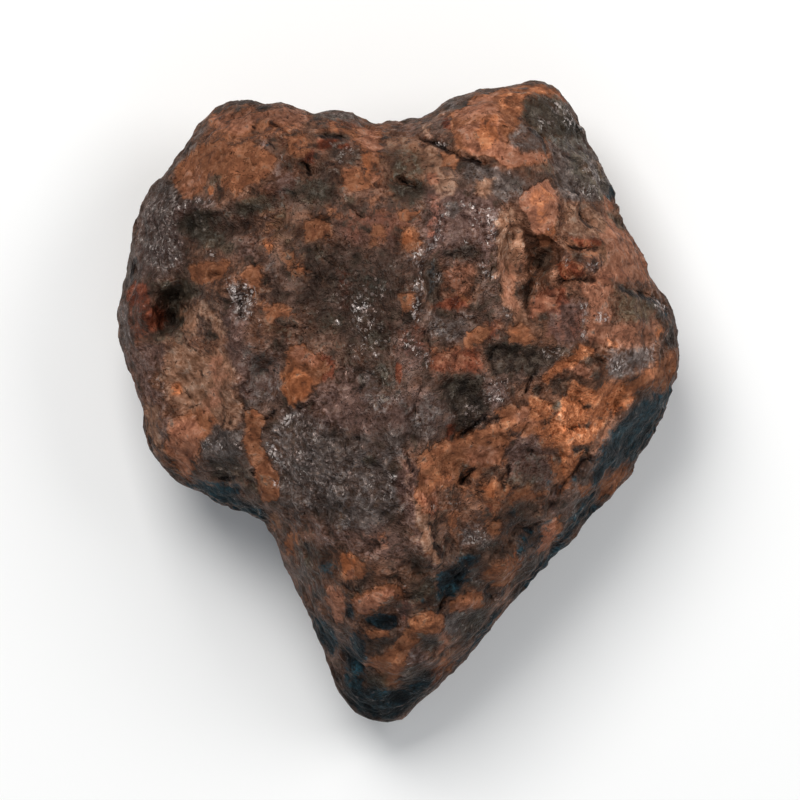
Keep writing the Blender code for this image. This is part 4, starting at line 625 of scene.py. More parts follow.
        ([(244, 478), (262, 478), (262, 496), (246, 494)], 0.6, 5),
        ([(316, 314), (350, 314), (348, 336), (318, 336)], 0.5, 6),
        ([(664, 384), (674, 378), (672, 392), (664, 396)], 0.5, 3),
        ([(270, 322), (296, 322), (296, 340), (272, 340)], 0.35, 6),
        ([(310, 114), (350, 114), (350, 121), (314, 121)], 0.5, 3),
        ([(496, 560), (520, 576), (508, 588), (498, 584)], 0.3, 4),
        ([(364, 456), (376, 450), (378, 462), (366, 464)], 0.8, 2.5),
        ([(470, 540), (500, 538), (500, 552), (472, 552)], 0.4, 5),
        ([(120, 252), (132, 244), (132, 276), (122, 284)], 0.4, 3),
    ],
    # dark crust, and painted shade in the pits, hollows and cracks
    "dark": [
        ([(182, 216), (205, 208), (230, 211), (262, 200), (275, 195), (290, 186), (330, 185), (332, 200), (270, 214),
          (240, 222), (236, 246), (215, 252), (190, 240), (178, 228)], 0.55, 7),
        ([(238, 206), (256, 202), (268, 206), (258, 212), (242, 212)], 0.6, 3),
        ([(204, 253), (216, 252), (216, 259), (205, 259)], 0.8, 2.5),
        ([(150, 284), (176, 281), (202, 284), (206, 294), (190, 298), (180, 304), (179, 330), (170, 337), (158, 339),
          (156, 337), (169, 324), (171, 305), (164, 295), (152, 292)], 0.72, 3.5),
        ([(130, 268), (140, 258), (142, 282), (132, 284)], 0.5, 4),
        ([(300, 258), (350, 250), (395, 262), (402, 290), (392, 330), (395, 345), (360, 360), (340, 350), (300, 345),
          (305, 310), (300, 285)], 0.5, 14),
        ([(350, 262), (396, 266), (400, 290), (372, 300), (352, 290)], 0.4, 8),
        ([(300, 298), (330, 300), (336, 330), (302, 336)], 0.45, 7),
        ([(254, 350), (278, 350), (276, 372), (262, 378), (250, 366)], 0.55, 6),
        ([(482, 353), (495, 345), (514, 345), (521, 352), (521, 371), (505, 377), (488, 373)], 0.95, 4),
        ([(518, 346), (542, 344), (560, 347), (577, 349), (562, 362), (546, 366), (534, 377), (520, 373)], 0.75, 4),
        ([(440, 381), (462, 374), (480, 378), (479, 392), (489, 404), (480, 416), (464, 433), (455, 431), (455, 412),
          (446, 405), (438, 395)], 0.95, 5),
        ([(472, 410), (488, 402), (490, 410), (478, 416)], 0.9, 2),
        ([(424, 262), (440, 256), (441, 300), (436, 306), (425, 300)], 0.9, 3),
        ([(441, 252), (458, 247), (476, 247), (482, 256), (466, 262), (444, 262)], 0.8, 3),
        ([(527, 97), (545, 96), (560, 98), (567, 105), (574, 117), (584, 131), (580, 139), (564, 136), (552, 140),
          (540, 139), (528, 130), (522, 118), (524, 105)], 0.7, 3),
        ([(526, 104), (536, 100), (540, 128), (530, 128), (525, 116)], 0.5, 3),
        ([(554, 142), (566, 140), (570, 152), (560, 156)], 0.7, 3), ([(572, 168), (584, 158), (586, 164), (576, 172)],
                                                                    0.7, 2.5),
        ([(520, 168), (530, 167), (532, 178), (522, 178)], 0.7, 3),
        ([(506, 180), (520, 182), (520, 192), (506, 192)], 0.6, 4),
        ([(656, 304), (668, 312), (676, 330), (678, 350), (670, 350), (662, 328), (654, 318)], 0.75, 3),
        ([(207, 458), (235, 455), (250, 462), (258, 478), (240, 485), (212, 481)], 0.85, 4),
        ([(226, 462), (240, 462), (242, 480), (228, 480)], 0.6, 3),
        ([(244, 500), (262, 500), (267, 522), (252, 514), (240, 506)], 0.8, 4),
        ([(300, 165), (325, 160), (340, 168), (340, 195), (325, 205), (300, 200)], 0.55, 7),
        ([(328, 150), (361, 150), (361, 164), (340, 168), (328, 162)], 0.75, 4),
        ([(386, 184), (402, 179), (424, 181), (430, 196), (412, 205), (398, 199)], 0.75, 4),
        ([(388, 152), (396, 152), (398, 160), (390, 162)], 0.5, 3), ([(404, 152), (414, 154), (412, 162), (404, 160)],
                                                                    0.5, 3),
        ([(300, 540), (325, 545), (336, 560), (334, 578), (315, 586), (298, 575)], 0.6, 6),
        ([(318, 558), (334, 558), (336, 576), (322, 578)], 0.6, 4),
        ([(312, 584), (322, 584), (324, 598), (316, 600)], 0.8, 3),
        ([(408, 554), (424, 551), (429, 565), (415, 573)], 0.8, 4), ([(350, 574), (368, 574), (368, 592), (352, 594)],
                                                                    0.7, 4),
        ([(362, 564), (372, 566), (374, 580), (364, 580)], 0.6, 3),
        ([(418, 632), (441, 633), (441, 650), (422, 652)], 0.75, 4), ([(455, 612), (492, 602), (488, 628), (466, 645),
                                                                      (452, 640)], 0.7, 5),
        ([(533, 250), (542, 247), (552, 250), (554, 262), (547, 275), (535, 277), (530, 264)], 0.8, 3.5),
        ([(522, 286), (530, 280), (527, 304), (520, 300)], 0.8, 3),
        ([(570, 255), (581, 255), (581, 266), (572, 266)], 0.8, 2.5),
        ([(584, 358), (600, 358), (602, 366), (588, 367)], 0.85, 2.5),
        ([(588, 370), (600, 368), (600, 388), (590, 390)], 0.6, 3),
        ([(547, 378), (566, 376), (566, 394), (549, 396)], 1.0, 2.5), ([(533, 385), (541, 384), (540, 396), (533, 396)],
                                                                      0.95, 2),
        ([(546, 403), (557, 402), (556, 411), (546, 411)], 0.6, 3), ([(571, 446), (588, 444), (588, 452), (572, 453)],
                                                                    0.95, 2),
        ([(570, 425), (590, 423), (588, 428), (572, 429)], 0.8, 1.5), ([(583, 404), (589, 402), (588, 408), (583, 408)],
                                                                      0.9, 1.5),
        ([(596, 418), (604, 414), (604, 419), (597, 422)], 0.7, 1.5),
        ([(548, 450), (562, 452), (562, 462), (552, 462)], 0.8, 3), ([(360, 370), (365, 372), (364, 392), (359, 392)],
                                                                    0.9, 2),
        ([(520, 452), (548, 446), (552, 474), (530, 484), (510, 474)], 0.45, 6),
        ([(470, 466), (490, 466), (502, 474), (486, 478)], 0.5, 4),
        ([(500, 500), (540, 498), (542, 520), (510, 520)], 0.7, 5),
        ([(440, 556), (480, 540), (504, 544), (510, 556), (470, 564)], 0.6, 5),
        ([(300, 300), (340, 296), (344, 340), (304, 342)], 0.3, 10),
        ([(522, 560), (545, 556), (536, 576), (520, 584), (512, 580)], 0.85, 4),
        ([(464, 566), (484, 566), (490, 590), (478, 592), (464, 584)], 0.6, 4),
        ([(484, 586), (494, 588), (492, 604), (484, 604)], 0.7, 3),
        ([(404, 576), (438, 574), (440, 598), (408, 606)], 0.6, 5),
        ([(312, 137), (330, 136), (348, 137), (352, 142), (346, 147), (330, 144), (318, 142)], 0.95, 1.8),
        ([(270, 140), (276, 140), (277, 153), (271, 155)], 0.95, 1.8), ([(284, 163), (296, 163), (295, 174), (285, 174)],
                                                                       0.8, 3),
        ([(276, 146), (290, 150), (284, 160), (276, 160)], 0.5, 4),
        ([(618, 372), (640, 376), (628, 388), (614, 384)], 0.4, 4),
        ([(636, 392), (650, 386), (646, 394), (636, 398)], 0.7, 2.5),
        ([(626, 408), (640, 402), (630, 418), (606, 440), (598, 446), (610, 426)], 0.45, 3),
        ([(392, 594), (400, 592), (402, 606), (388, 606), (384, 600)], 0.6, 3),
        ([(470, 545), (505, 536), (512, 556), (480, 560)], 0.4, 5),
        ([(362, 636), (386, 638), (388, 652), (370, 656), (362, 648)], 0.75, 4),
        ([(404, 668), (426, 664), (430, 686), (410, 696), (398, 690)], 0.85, 4),
        ([(366, 674), (384, 686), (396, 692), (384, 700), (366, 692)], 0.7, 4),
        ([(590, 486), (606, 500), (592, 514), (570, 534), (560, 544), (572, 514)], 0.6, 4),
        ([(572, 472), (594, 460), (588, 478), (574, 488)], 0.4, 4),
        ([(444, 106), (456, 100), (458, 104), (450, 111)], 0.6, 2), ([(400, 402), (410, 402), (410, 412), (402, 412)],
                                                                    0.6, 3),
        ([(378, 330), (392, 334), (392, 344), (378, 342)], 0.6, 4), ([(536, 312), (546, 313), (545, 321), (537, 321)],
                                                                    0.8, 2.5),
        ([(442, 270), (436, 286), (440, 300), (432, 300)], 0.4, 3),
        ([(458, 463), (470, 461), (472, 470), (460, 474)], 0.7, 3),
        ([(344, 626), (350, 626), (352, 636), (342, 636)], 0.8, 3), ([(352, 655), (362, 640), (364, 690), (352, 692)],
                                                                    0.6, 4),
        ([(466, 624), (474, 622), (470, 640), (465, 642)], 0.9, 2),
        ([(205, 440), (212, 438), (212, 452), (206, 452)], 0.4, 3),
        ([(258, 100), (250, 104), (236, 103), (244, 98)], 0.6, 2),
        ([(390, 330), (410, 318), (412, 322), (394, 334)], 0.7, 2),
        ([(330, 338), (346, 330), (350, 346), (334, 350)], 0.5, 4),
        ([(282, 318), (300, 322), (298, 332), (284, 330)], 0.35, 4),
    ],
    # black crust on the lower walls, the underside rim and the tip, painted dark and blue as painted shade and a
    # painted reflection of bluish light
    "blue": [
        ([(178, 482), (200, 482), (236, 484), (242, 500), (262, 508), (267, 524), (240, 512), (208, 498), (186, 490)],
         0.9, 3),
        ([(204, 488), (234, 486), (240, 500), (226, 503), (208, 496)], 1.0, 3),
        ([(676, 384), (670, 408), (655, 432), (650, 446), (637, 462), (620, 466), (604, 478), (592, 500), (586, 514),
          (570, 537), (552, 553), (560, 535), (578, 510), (590, 488), (596, 466), (602, 444), (620, 420), (640, 402),
          (656, 394)], 0.95, 4),
        ([(640, 404), (664, 398), (660, 418), (640, 428), (622, 440), (606, 452), (610, 434)], 1.0, 3),
        ([(505, 511), (512, 504), (516, 530), (506, 530)], 0.75, 4),
        ([(510, 532), (526, 524), (542, 522), (546, 536), (538, 552), (526, 560), (514, 552)], 0.60, 7),
        ([(436, 574), (449, 565), (464, 562), (468, 574), (460, 588), (450, 597), (437, 595)], 0.95, 4),
        ([(366, 614), (380, 610), (396, 614), (396, 627), (380, 627), (366, 620)], 1.0, 2),
        ([(311, 616), (324, 618), (334, 630), (340, 642), (332, 656), (322, 648), (314, 634)], 0.95, 3),
        ([(354, 630), (366, 636), (365, 660), (364, 690), (350, 699), (344, 690), (346, 660)], 0.95, 4),
        ([(340, 640), (352, 645), (352, 656), (340, 654)], 0.7, 3),
        ([(344, 694), (358, 686), (395, 692), (418, 680), (431, 672), (429, 692), (410, 709), (388, 722), (358, 715)],
         0.95, 4),
        ([(320, 557), (336, 560), (335, 578), (322, 580)], 0.5, 4),
        ([(514, 600), (530, 572), (548, 556), (566, 545), (575, 540), (552, 562), (530, 588)], 0.85, 3),
        ([(508, 603), (496, 624), (470, 658), (452, 672), (458, 660), (474, 640), (490, 612)], 0.8, 3),
        ([(455, 556), (480, 554), (478, 564), (458, 566)], 0.75, 3),
        ([(554, 486), (570, 478), (586, 460), (598, 448), (600, 452), (588, 468), (572, 484), (556, 496)], 0.55, 2),
        ([(538, 466), (552, 462), (556, 482), (544, 494)], 0.25, 4),
        ([(674, 378), (678, 378), (674, 400), (668, 410), (666, 396)], 1.0, 2),
        ([(346, 600), (354, 602), (354, 618), (346, 616)], 0.8, 3),
        ([(430, 690), (470, 656), (468, 664), (436, 694)], 0.6, 3),
        ([(608, 180), (614, 186), (615, 200), (608, 198)], 0.9, 2), ([(580, 120), (586, 130), (582, 134), (576, 126)],
                                                                    0.6, 2),
        ([(664, 306), (672, 314), (668, 320), (660, 314)], 0.6, 2.5), ([(520, 524), (532, 520), (534, 528), (520, 530)],
                                                                      0.5, 3),
        ([(428, 268), (434, 264), (434, 292), (428, 296)], 0.4, 2.5), ([(268, 142), (272, 142), (272, 152), (268, 152)],
                                                                      0.6, 2),
        ([(476, 160), (500, 164), (498, 168), (478, 165)], 0.2, 3),
        ([(420, 600), (436, 596), (432, 606), (420, 606)], 0.5, 3),
        ([(298, 590), (306, 600), (312, 616), (304, 612)], 0.6, 3),
    ],
    # where the glints go: glossy metallic faces that also get painted highlights in their colour
    "spark": [
        ([(140, 196), (205, 196), (206, 210), (170, 222), (180, 262), (160, 272), (142, 262)], 0.38, 8),
        ([(196, 199), (214, 199), (214, 206), (198, 206)], 0.9, 2.5),
        ([(170, 202), (188, 200), (188, 212), (170, 212)], 0.75, 4), ([(146, 240), (156, 240), (158, 256), (148, 256)],
                                                                     0.8, 4),
        ([(166, 250), (182, 246), (180, 268), (168, 268)], 0.7, 4),
        ([(228, 280), (240, 282), (252, 280), (258, 296), (254, 316), (244, 320), (232, 312), (230, 296)], 1.0, 4),
        ([(352, 302), (360, 306), (368, 300), (372, 308), (364, 314), (366, 322), (358, 324), (354, 312)], 1.0, 2.5),
        ([(336, 321), (341, 321), (341, 328), (337, 328)], 1.0, 1.5), ([(362, 328), (368, 328), (368, 348), (363, 348)],
                                                                      0.7, 2.5),
        ([(374, 350), (380, 352), (379, 360), (374, 358)], 1.0, 1.5),
        ([(443, 212), (447, 216), (440, 230), (435, 244), (430, 240), (436, 226)], 0.95, 2.5),
        ([(424, 252), (430, 240), (438, 238), (438, 248), (430, 258), (424, 262)], 1.0, 2.5),
        ([(411, 258), (419, 253), (420, 264), (416, 276), (412, 272)], 1.0, 2.5),
        ([(414, 276), (420, 276), (425, 284), (421, 296), (416, 296)], 0.95, 2.5),
        ([(412, 300), (418, 300), (421, 318), (414, 322), (411, 320)], 0.9, 2.5),
        ([(434, 273), (438, 273), (438, 285), (434, 285)], 1.0, 1.5),
        ([(470, 204), (476, 204), (476, 212), (470, 212)], 1.0, 2), ([(460, 202), (464, 202), (464, 210), (460, 210)],
                                                                    0.9, 1.5),
        ([(482, 208), (490, 206), (498, 216), (494, 226), (486, 224), (482, 216)], 1.0, 3),
        ([(486, 226), (496, 232), (496, 252), (486, 250), (478, 240)], 0.7, 4),
        ([(463, 240), (468, 240), (468, 250), (464, 250)], 0.9, 1.5),
        ([(480, 258), (488, 264), (495, 278), (490, 280), (482, 276), (480, 266)], 1.0, 2.5),
        ([(440, 262), (460, 268), (460, 284), (444, 282)], 0.3, 6),
        ([(262, 442), (272, 440), (280, 448), (282, 462), (274, 462), (266, 452)], 1.0, 3),
        ([(280, 418), (290, 410), (300, 412), (298, 424), (288, 434), (282, 430)], 0.9, 3.5),
        ([(278, 456), (300, 440), (320, 444), (322, 470), (296, 480), (280, 474)], 0.65, 6),
        ([(272, 480), (282, 479), (284, 486), (274, 487)], 1.0, 1.8), ([(287, 479), (293, 479), (292, 484), (287, 484)],
                                                                      1.0, 1.5),
        ([(592, 314), (600, 312), (607, 316), (606, 324), (596, 325), (591, 322)], 1.0, 2),
        ([(606, 356), (618, 354), (624, 364), (620, 376), (608, 374), (604, 364)], 0.95, 3),
        ([(642, 350), (656, 344), (656, 356), (644, 360)], 0.85, 3),
        ([(560, 104), (570, 106), (572, 118), (562, 116)], 0.85, 3), ([(568, 119), (580, 120), (580, 128), (569, 128)],
                                                                     0.8, 2.5),
        ([(540, 118), (556, 120), (552, 134), (540, 132)], 0.45, 5),
        ([(582, 158), (598, 160), (602, 176), (592, 184), (580, 174)], 0.65, 4),
        ([(586, 186), (596, 188), (594, 198), (586, 196)], 0.7, 3),
        ([(434, 143), (440, 142), (450, 149), (451, 153), (442, 150), (435, 147)], 1.0, 1.5),
        ([(652, 299), (662, 300), (668, 308), (660, 310), (653, 305)], 1.0, 2),
        ([(458, 524), (480, 530), (486, 544), (466, 540)], 0.55, 5), ([(388, 396), (406, 398), (406, 403), (390, 402)],
                                                                     0.6, 2),
        ([(484, 396), (500, 394), (504, 404), (486, 402)], 0.9, 2.5), ([(480, 382), (488, 388), (490, 400), (482, 396)],
                                                                      0.7, 3),
        ([(388, 470), (396, 472), (396, 482), (389, 482)], 0.9, 2), ([(398, 446), (404, 448), (404, 456), (398, 456)],
                                                                    0.8, 2.5),
        ([(560, 262), (568, 257), (570, 264), (563, 270)], 1.0, 1.8), ([(546, 228), (551, 228), (551, 237), (546, 236)],
                                                                     1.0, 1.5),
        ([(584, 264), (596, 262), (594, 276), (586, 276)], 0.85, 2.5),
        ([(296, 440), (340, 436), (350, 500), (300, 500)], 0.22, 12), ([(202, 440), (226, 438), (226, 446), (204, 448)],
                                                                      0.8, 2.5),
        ([(235, 440), (241, 440), (241, 450), (236, 450)], 0.8, 2),
        ([(410, 340), (420, 342), (420, 358), (412, 356)], 0.8, 2.5), ([(424, 358), (428, 360), (428, 366), (424, 364)],
                                                                      0.9, 1.5),
        ([(328, 482), (338, 482), (336, 492), (328, 492)], 0.7, 2.5),
        ([(210, 252), (216, 252), (216, 258), (212, 258)], 0.8, 1.5), ([(280, 158), (285, 158), (285, 164), (281, 163)],
                                                                     0.9, 1.5),
        ([(430, 326), (446, 326), (442, 336), (430, 336)], 0.6, 3), ([(260, 320), (264, 320), (264, 328), (260, 328)],
                                                                    0.8, 1.5),
        ([(400, 578), (412, 580), (412, 592), (402, 592)], 0.45, 3), ([(406, 662), (412, 662), (412, 668), (407, 668)],
                                                                     0.9, 1.5),
        ([(386, 600), (398, 600), (398, 608), (388, 608)], 0.6, 2.5), ([(334, 150), (356, 152), (354, 162), (336, 162)],
                                                                      0.55, 4),
        ([(150, 376), (164, 380), (163, 388), (152, 386)], 0.5, 4), ([(360, 480), (400, 470), (400, 500), (366, 505)],
                                                                    0.35, 8),
        ([(342, 546), (352, 546), (352, 552), (343, 552)], 0.7, 1.8), ([(588, 244), (592, 245), (591, 249), (588, 249)],
                                                                     1.0, 1.2),
        ([(512, 552), (520, 548), (518, 560)], 0.4, 2), ([(300, 503), (316, 496), (316, 502), (302, 508)], 0.5, 3),
        ([(496, 308), (508, 310), (510, 318), (500, 318)], 0.6, 3), ([(430, 498), (436, 502), (436, 510), (432, 510)],
                                                                    0.7, 1.5),
        ([(424, 374), (440, 360), (450, 366), (440, 380)], 0.2, 4),
    ],
}

# how much of the walls and the underside each kind of crust covers, and its seed there
ZONES["red"] += [
    ([(332, 208), (370, 203), (412, 208), (424, 226), (408, 246), (372, 252), (344, 246)], 0.34, 9),
    ([(256, 186), (292, 184), (300, 198), (280, 208), (260, 204)], 0.32, 6),
    ([(388, 322), (412, 326), (424, 348), (410, 366), (392, 352)], 0.30, 7),
]
ZONES["olive"] += [
    ([(346, 268), (372, 262), (384, 288), (372, 306), (350, 300)], 0.45, 7),
    ([(366, 330), (388, 328), (390, 350), (370, 354)], 0.60, 5),
    ([(338, 352), (352, 350), (350, 366), (338, 366)], 0.45, 4),
    ([(270, 212), (288, 216), (300, 238), (286, 246), (272, 232)], 0.40, 6),
    ([(524, 104), (540, 98), (560, 104), (576, 124), (584, 146), (566, 150), (548, 140), (530, 130)], 0.50, 5),
    ([(566, 140), (584, 146), (600, 166), (612, 188), (602, 200), (584, 196), (570, 176)], 0.55, 5),
    ([(616, 296), (634, 296), (648, 304), (644, 318), (624, 322), (615, 312)], 0.85, 4),
]
ZONES["violet"] += [
    ([(336, 214), (380, 210), (404, 222), (392, 244), (352, 246)], 0.40, 8),
    ([(330, 360), (356, 356), (372, 400), (344, 412), (326, 392)], 0.40, 8),
    ([(420, 246), (476, 240), (486, 262), (470, 268), (430, 262)], 0.60, 6),
    ([(500, 440), (540, 430), (556, 452), (548, 486), (512, 484), (498, 462)], 0.70, 7),
    ([(142, 200), (166, 192), (196, 204), (186, 240), (184, 262), (150, 272), (136, 250)], 0.75, 8),
    ([(548, 300), (562, 296), (576, 304), (578, 344), (556, 346), (546, 330)], 0.85, 5),
]
ZONES["bright"] += [
    ([(594, 386), (618, 380), (636, 388), (630, 404), (610, 414), (592, 410)], 0.85, 5),
    ([(532, 424), (552, 414), (564, 426), (560, 450), (542, 454)], 0.60, 6),
]
ZONES["blue"] += [
    ([(520, 588), (538, 564), (558, 545), (572, 538), (562, 556), (542, 578), (526, 596)], 0.90, 4),
    ([(582, 512), (596, 500), (604, 506), (592, 522), (580, 530)], 0.70, 4),
]
ZONES["rust"] += [
    ([(366, 228), (380, 226), (384, 244), (370, 250)], 0.55, 4),
    ([(304, 222), (322, 220), (328, 238), (314, 244)], 0.40, 5),
    ([(530, 222), (553, 218), (553, 238), (545, 250), (537, 242)], 0.95, 2.5),
    ([(556, 462), (570, 466), (573, 486), (560, 496), (552, 484)], 0.75, 3),
    ([(262, 212), (276, 210), (281, 244), (266, 248)], 0.45, 5), ([(280, 246), (306, 250), (308, 278), (284, 276)], 0.45, 6),
    ([(238, 268), (264, 270), (262, 298), (240, 294)], 0.42, 5), ([(306, 212), (332, 214), (338, 240), (312, 242)], 0.40, 7),
    ([(354, 186), (380, 192), (392, 220), (366, 214)], 0.35, 7), ([(440, 486), (470, 480), (498, 488), (480, 502), (450, 502)], 0.40, 5),
    ([(476, 500), (500, 498), (496, 526), (478, 522)], 0.40, 5), ([(516, 484), (540, 480), (548, 500), (524, 500)], 0.40, 5),
]
ZONES["tan"] += [
    ([(216, 392), (240, 384), (247, 404), (240, 426), (222, 432), (212, 416)], 0.65, 5),
    ([(413, 498), (424, 502), (430, 520), (436, 542), (444, 566), (436, 562), (424, 548), (416, 524)], 0.95, 2.5),
]
# more dark crust; the small shape in the left pit and the line along the right edge crack are painted shade
ZONES["dark"] += [
    ([(440, 590), (452, 574), (476, 564), (504, 552), (512, 538), (536, 516), (548, 516), (546, 544), (524, 562),
      (496, 568), (470, 584), (450, 604)], 0.60, 7),
    ([(172, 326), (184, 326), (186, 340), (174, 344)], 0.65, 4),
    ([(428, 516), (434, 524), (442, 540), (448, 560), (443, 560), (434, 540)], 0.75, 3),
    ([(500, 508), (524, 500), (540, 512), (538, 530), (512, 534), (500, 524)], 0.60, 6),
    ([(440, 556), (470, 552), (500, 548), (512, 556), (480, 566), (452, 572)], 0.55, 6),
    ([(420, 590), (440, 584), (458, 596), (440, 606), (420, 608)], 0.60, 5),
    ([(614, 284), (628, 290), (650, 296), (668, 310), (660, 314), (640, 302), (618, 296)], 0.85, 2),
]
ZONES["spark"] += [
    ([(350, 296), (372, 298), (376, 322), (364, 336), (352, 326)], 0.62, 4),
    ([(330, 290), (386, 288), (392, 344), (372, 360), (340, 346)], 0.30, 8),
    ([(408, 254), (424, 252), (424, 322), (410, 326)], 0.55, 4),
    ([(412, 250), (432, 236), (442, 210), (448, 212), (440, 244), (424, 266), (420, 320), (411, 326)], 0.80, 3),
    ([(470, 204), (498, 208), (500, 246), (480, 246), (470, 226)], 0.60, 4),
    ([(264, 410), (304, 406), (336, 440), (330, 486), (276, 490), (262, 450)], 0.28, 8),
    ([(546, 98), (562, 102), (568, 114), (556, 112)], 0.90, 3), ([(562, 118), (580, 120), (584, 134), (570, 130)], 0.90, 2),
    ([(584, 158), (596, 166), (604, 182), (594, 186), (584, 172)], 0.90, 3),
    ([(572, 178), (590, 186), (598, 198), (580, 198)], 0.75, 3), ([(528, 118), (544, 116), (550, 132), (536, 132)], 0.60, 3),
    ([(576, 302), (584, 306), (585, 346), (578, 344)], 0.80, 2), ([(650, 296), (662, 300), (670, 312), (658, 312)], 1.0, 2),
    ([(538, 340), (556, 346), (570, 352), (556, 362), (540, 356)], 0.50, 4),
    ([(404, 330), (416, 340), (424, 360), (414, 360), (402, 346)], 0.70, 3),
    ([(480, 370), (504, 380), (508, 404), (486, 404)], 0.60, 4), ([(420, 350), (432, 352), (430, 372), (418, 366)], 0.50, 3),
    ([(462, 404), (486, 404), (484, 424), (462, 430)], 0.45, 4), ([(136, 206), (160, 196), (172, 230), (150, 268)], 0.20, 6),
    ([(440, 488), (462, 494), (456, 512), (440, 506)], 0.40, 4), ([(470, 520), (490, 530), (488, 550), (466, 540)], 0.60, 4),
]

# painted light: where the crust is painted paler, standing for light on lit faces and lightening the shade in the pits
ZONES["worn"] = [
    ([(178, 352), (228, 350), (234, 400), (226, 440), (184, 440), (174, 396)], 0.24, 12),
    ([(436, 202), (450, 206), (446, 238), (440, 268), (434, 322), (420, 330), (413, 292), (422, 252), (432, 226)], 0.70, 5),
    ([(474, 204), (500, 206), (502, 252), (480, 254)], 0.75, 6),
    ([(498, 213), (522, 215), (524, 262), (514, 312), (500, 310)], 0.60, 5),
    ([(484, 246), (500, 246), (503, 276), (490, 286), (482, 268)], 0.60, 4),
    ([(520, 122), (530, 133), (546, 142), (546, 154), (514, 156), (506, 148)], 0.30, 3),
    ([(530, 222), (554, 220), (553, 236), (545, 247), (536, 240)], 0.70, 3),
    ([(182, 184), (202, 182), (204, 198), (186, 202)], 0.55, 4),
    ([(464, 150), (504, 148), (506, 168), (470, 166)], 0.45, 5),
    ([(524, 190), (550, 188), (556, 215), (548, 238), (526, 236)], 0.35, 6),
    ([(524, 98), (562, 100), (572, 150), (604, 196), (562, 196), (540, 152)], 0.45, 8),
    ([(616, 294), (650, 296), (652, 320), (620, 320)], 0.80, 4),
    ([(598, 346), (654, 344), (656, 376), (604, 380)], 0.95, 6),
    ([(545, 398), (612, 392), (622, 420), (606, 456), (556, 456)], 0.70, 10),
    ([(538, 512), (562, 512), (560, 552), (540, 556)], 0.50, 4),
    ([(474, 166), (524, 168), (526, 198), (478, 200)], 0.50, 8),
    ([(400, 458), (426, 458), (442, 540), (412, 544), (402, 500)], 0.24, 6),
    ([(208, 454), (258, 456), (256, 484), (212, 482)], 0.80, 6),
    ([(440, 246), (478, 246), (476, 264), (440, 264)], 0.30, 5),
    ([(246, 342), (284, 342), (282, 398), (248, 396)], 0.30, 6),
    ([(270, 414), (304, 418), (304, 470), (276, 474)], 0.45, 6),
    ([(154, 282), (200, 284), (198, 300), (156, 300)], 1.00, 4),
    ([(531, 241), (556, 243), (556, 280), (533, 278)], 1.00, 4),
]
# painted shade: where the crust is painted darker, standing for shade on faces turned from the light and at the bottom
# of the tip
ZONES["grimy"] = [
    ([(222, 102), (250, 96), (304, 108), (304, 124), (240, 126), (218, 120)], 0.65, 6),
    ([(140, 180), (206, 178), (206, 266), (136, 268)], 0.62, 10),
    ([(194, 132), (266, 136), (266, 186), (190, 190)], 0.24, 10),
    ([(344, 124), (406, 128), (404, 174), (346, 172)], 0.18, 8),
    ([(296, 124), (352, 128), (352, 172), (298, 172)], 0.20, 8),
    ([(438, 264), (476, 264), (476, 304), (438, 306)], 0.38, 5),
    ([(372, 636), (412, 636), (410, 684), (376, 684)], 0.22, 6),
    ([(188, 261), (234, 261), (234, 284), (188, 284)], 0.30, 5),
    ([(126, 292), (160, 292), (160, 342), (128, 342)], 0.32, 5),
    ([(284, 368), (318, 368), (318, 402), (286, 402)], 0.32, 5),
    ([(318, 352), (336, 352), (336, 382), (318, 382)], 0.42, 4),
    ([(296, 218), (404, 218), (404, 322), (298, 322)], 0.32, 14),
    ([(298, 408), (402, 408), (402, 522), (300, 520)], 0.26, 14),
    ([(422, 444), (502, 444), (502, 486), (424, 486)], 0.20, 8),
    ([(330, 668), (352, 684), (390, 694), (430, 668), (450, 672), (414, 716), (388, 730), (350, 720), (332, 696)], 1.0, 8),
    ([(598, 444), (640, 420), (662, 408), (668, 424), (628, 476), (602, 474)], 0.35, 6),
]

BELOW = {"brown": (0.60, 2), "violet": (0.40, 14), "grey": (0.34, 8), "tan": (0.22, 5), "red": (0.20, 9),
         "rust": (0.38, 3), "rose": (0.20, 12), "bright": (0.10, 4), "olive": (0.20, 13), "dark": (0.36, 6),
         "blue": (0.10, 7), "spark": (0.20, 10)}


# ------------------------------------------------------------------------------------------------------------------
# Shape
# ------------------------------------------------------------------------------------------------------------------
def smooth01(t):
    t = np.clip(t, 0.0, 1.0)
    return t * t * (3.0 - 2.0 * t)


class Sounded:
    """The smooth sheet of least bending through a list of soundings."""

    def __init__(self, points, ease=0.002):
        p = np.array(points, float)
        self.at = p[:, :2] / 100.0
        k = self.kernel(np.linalg.norm(self.at[:, None] - self.at[None], axis=2)) + ease * np.eye(len(p))
        q = np.hstack([np.ones((len(p), 1)), self.at])
        m = np.block([[k, q], [q.T, np.zeros((3, 3))]])
        self.weight = np.linalg.solve(m, np.concatenate([p[:, 2], np.zeros(3)]))

    @staticmethod
    def kernel(d):
        return d ** 1.5

    def __call__(self, x, y):
        x, y = x / 100.0, y / 100.0
        z = self.weight[-3] + self.weight[-2] * x + self.weight[-1] * y
        for (a, b), w in zip(self.at, self.weight[:-3]):
            z = z + w * ((x - a) ** 2 + (y - b) ** 2) ** 0.75
        return z


def around(theta, angles, values):
    a = np.concatenate([angles[-3:] - 2 * math.pi, angles, angles[:3] + 2 * math.pi])
    return np.interp(theta, a, np.concatenate([values[-3:], values, values[:3]]))


def heading(p):
    return np.arctan2(p[:, 1] - POLE[1], p[:, 0] - POLE[0])


def outline_table(steps=24):
    p = np.array(OUTLINE, float)
    q = np.roll(p, -1, axis=0)
    pts = np.concatenate([p * (1 - t) + q * t for t in np.linspace(0, 1, steps, endpoint=False)])
    a = heading(pts)
    order = np.argsort(a)
    return a[order], np.hypot(pts[:, 0] - POLE[0], pts[:, 1] - POLE[1])[order]


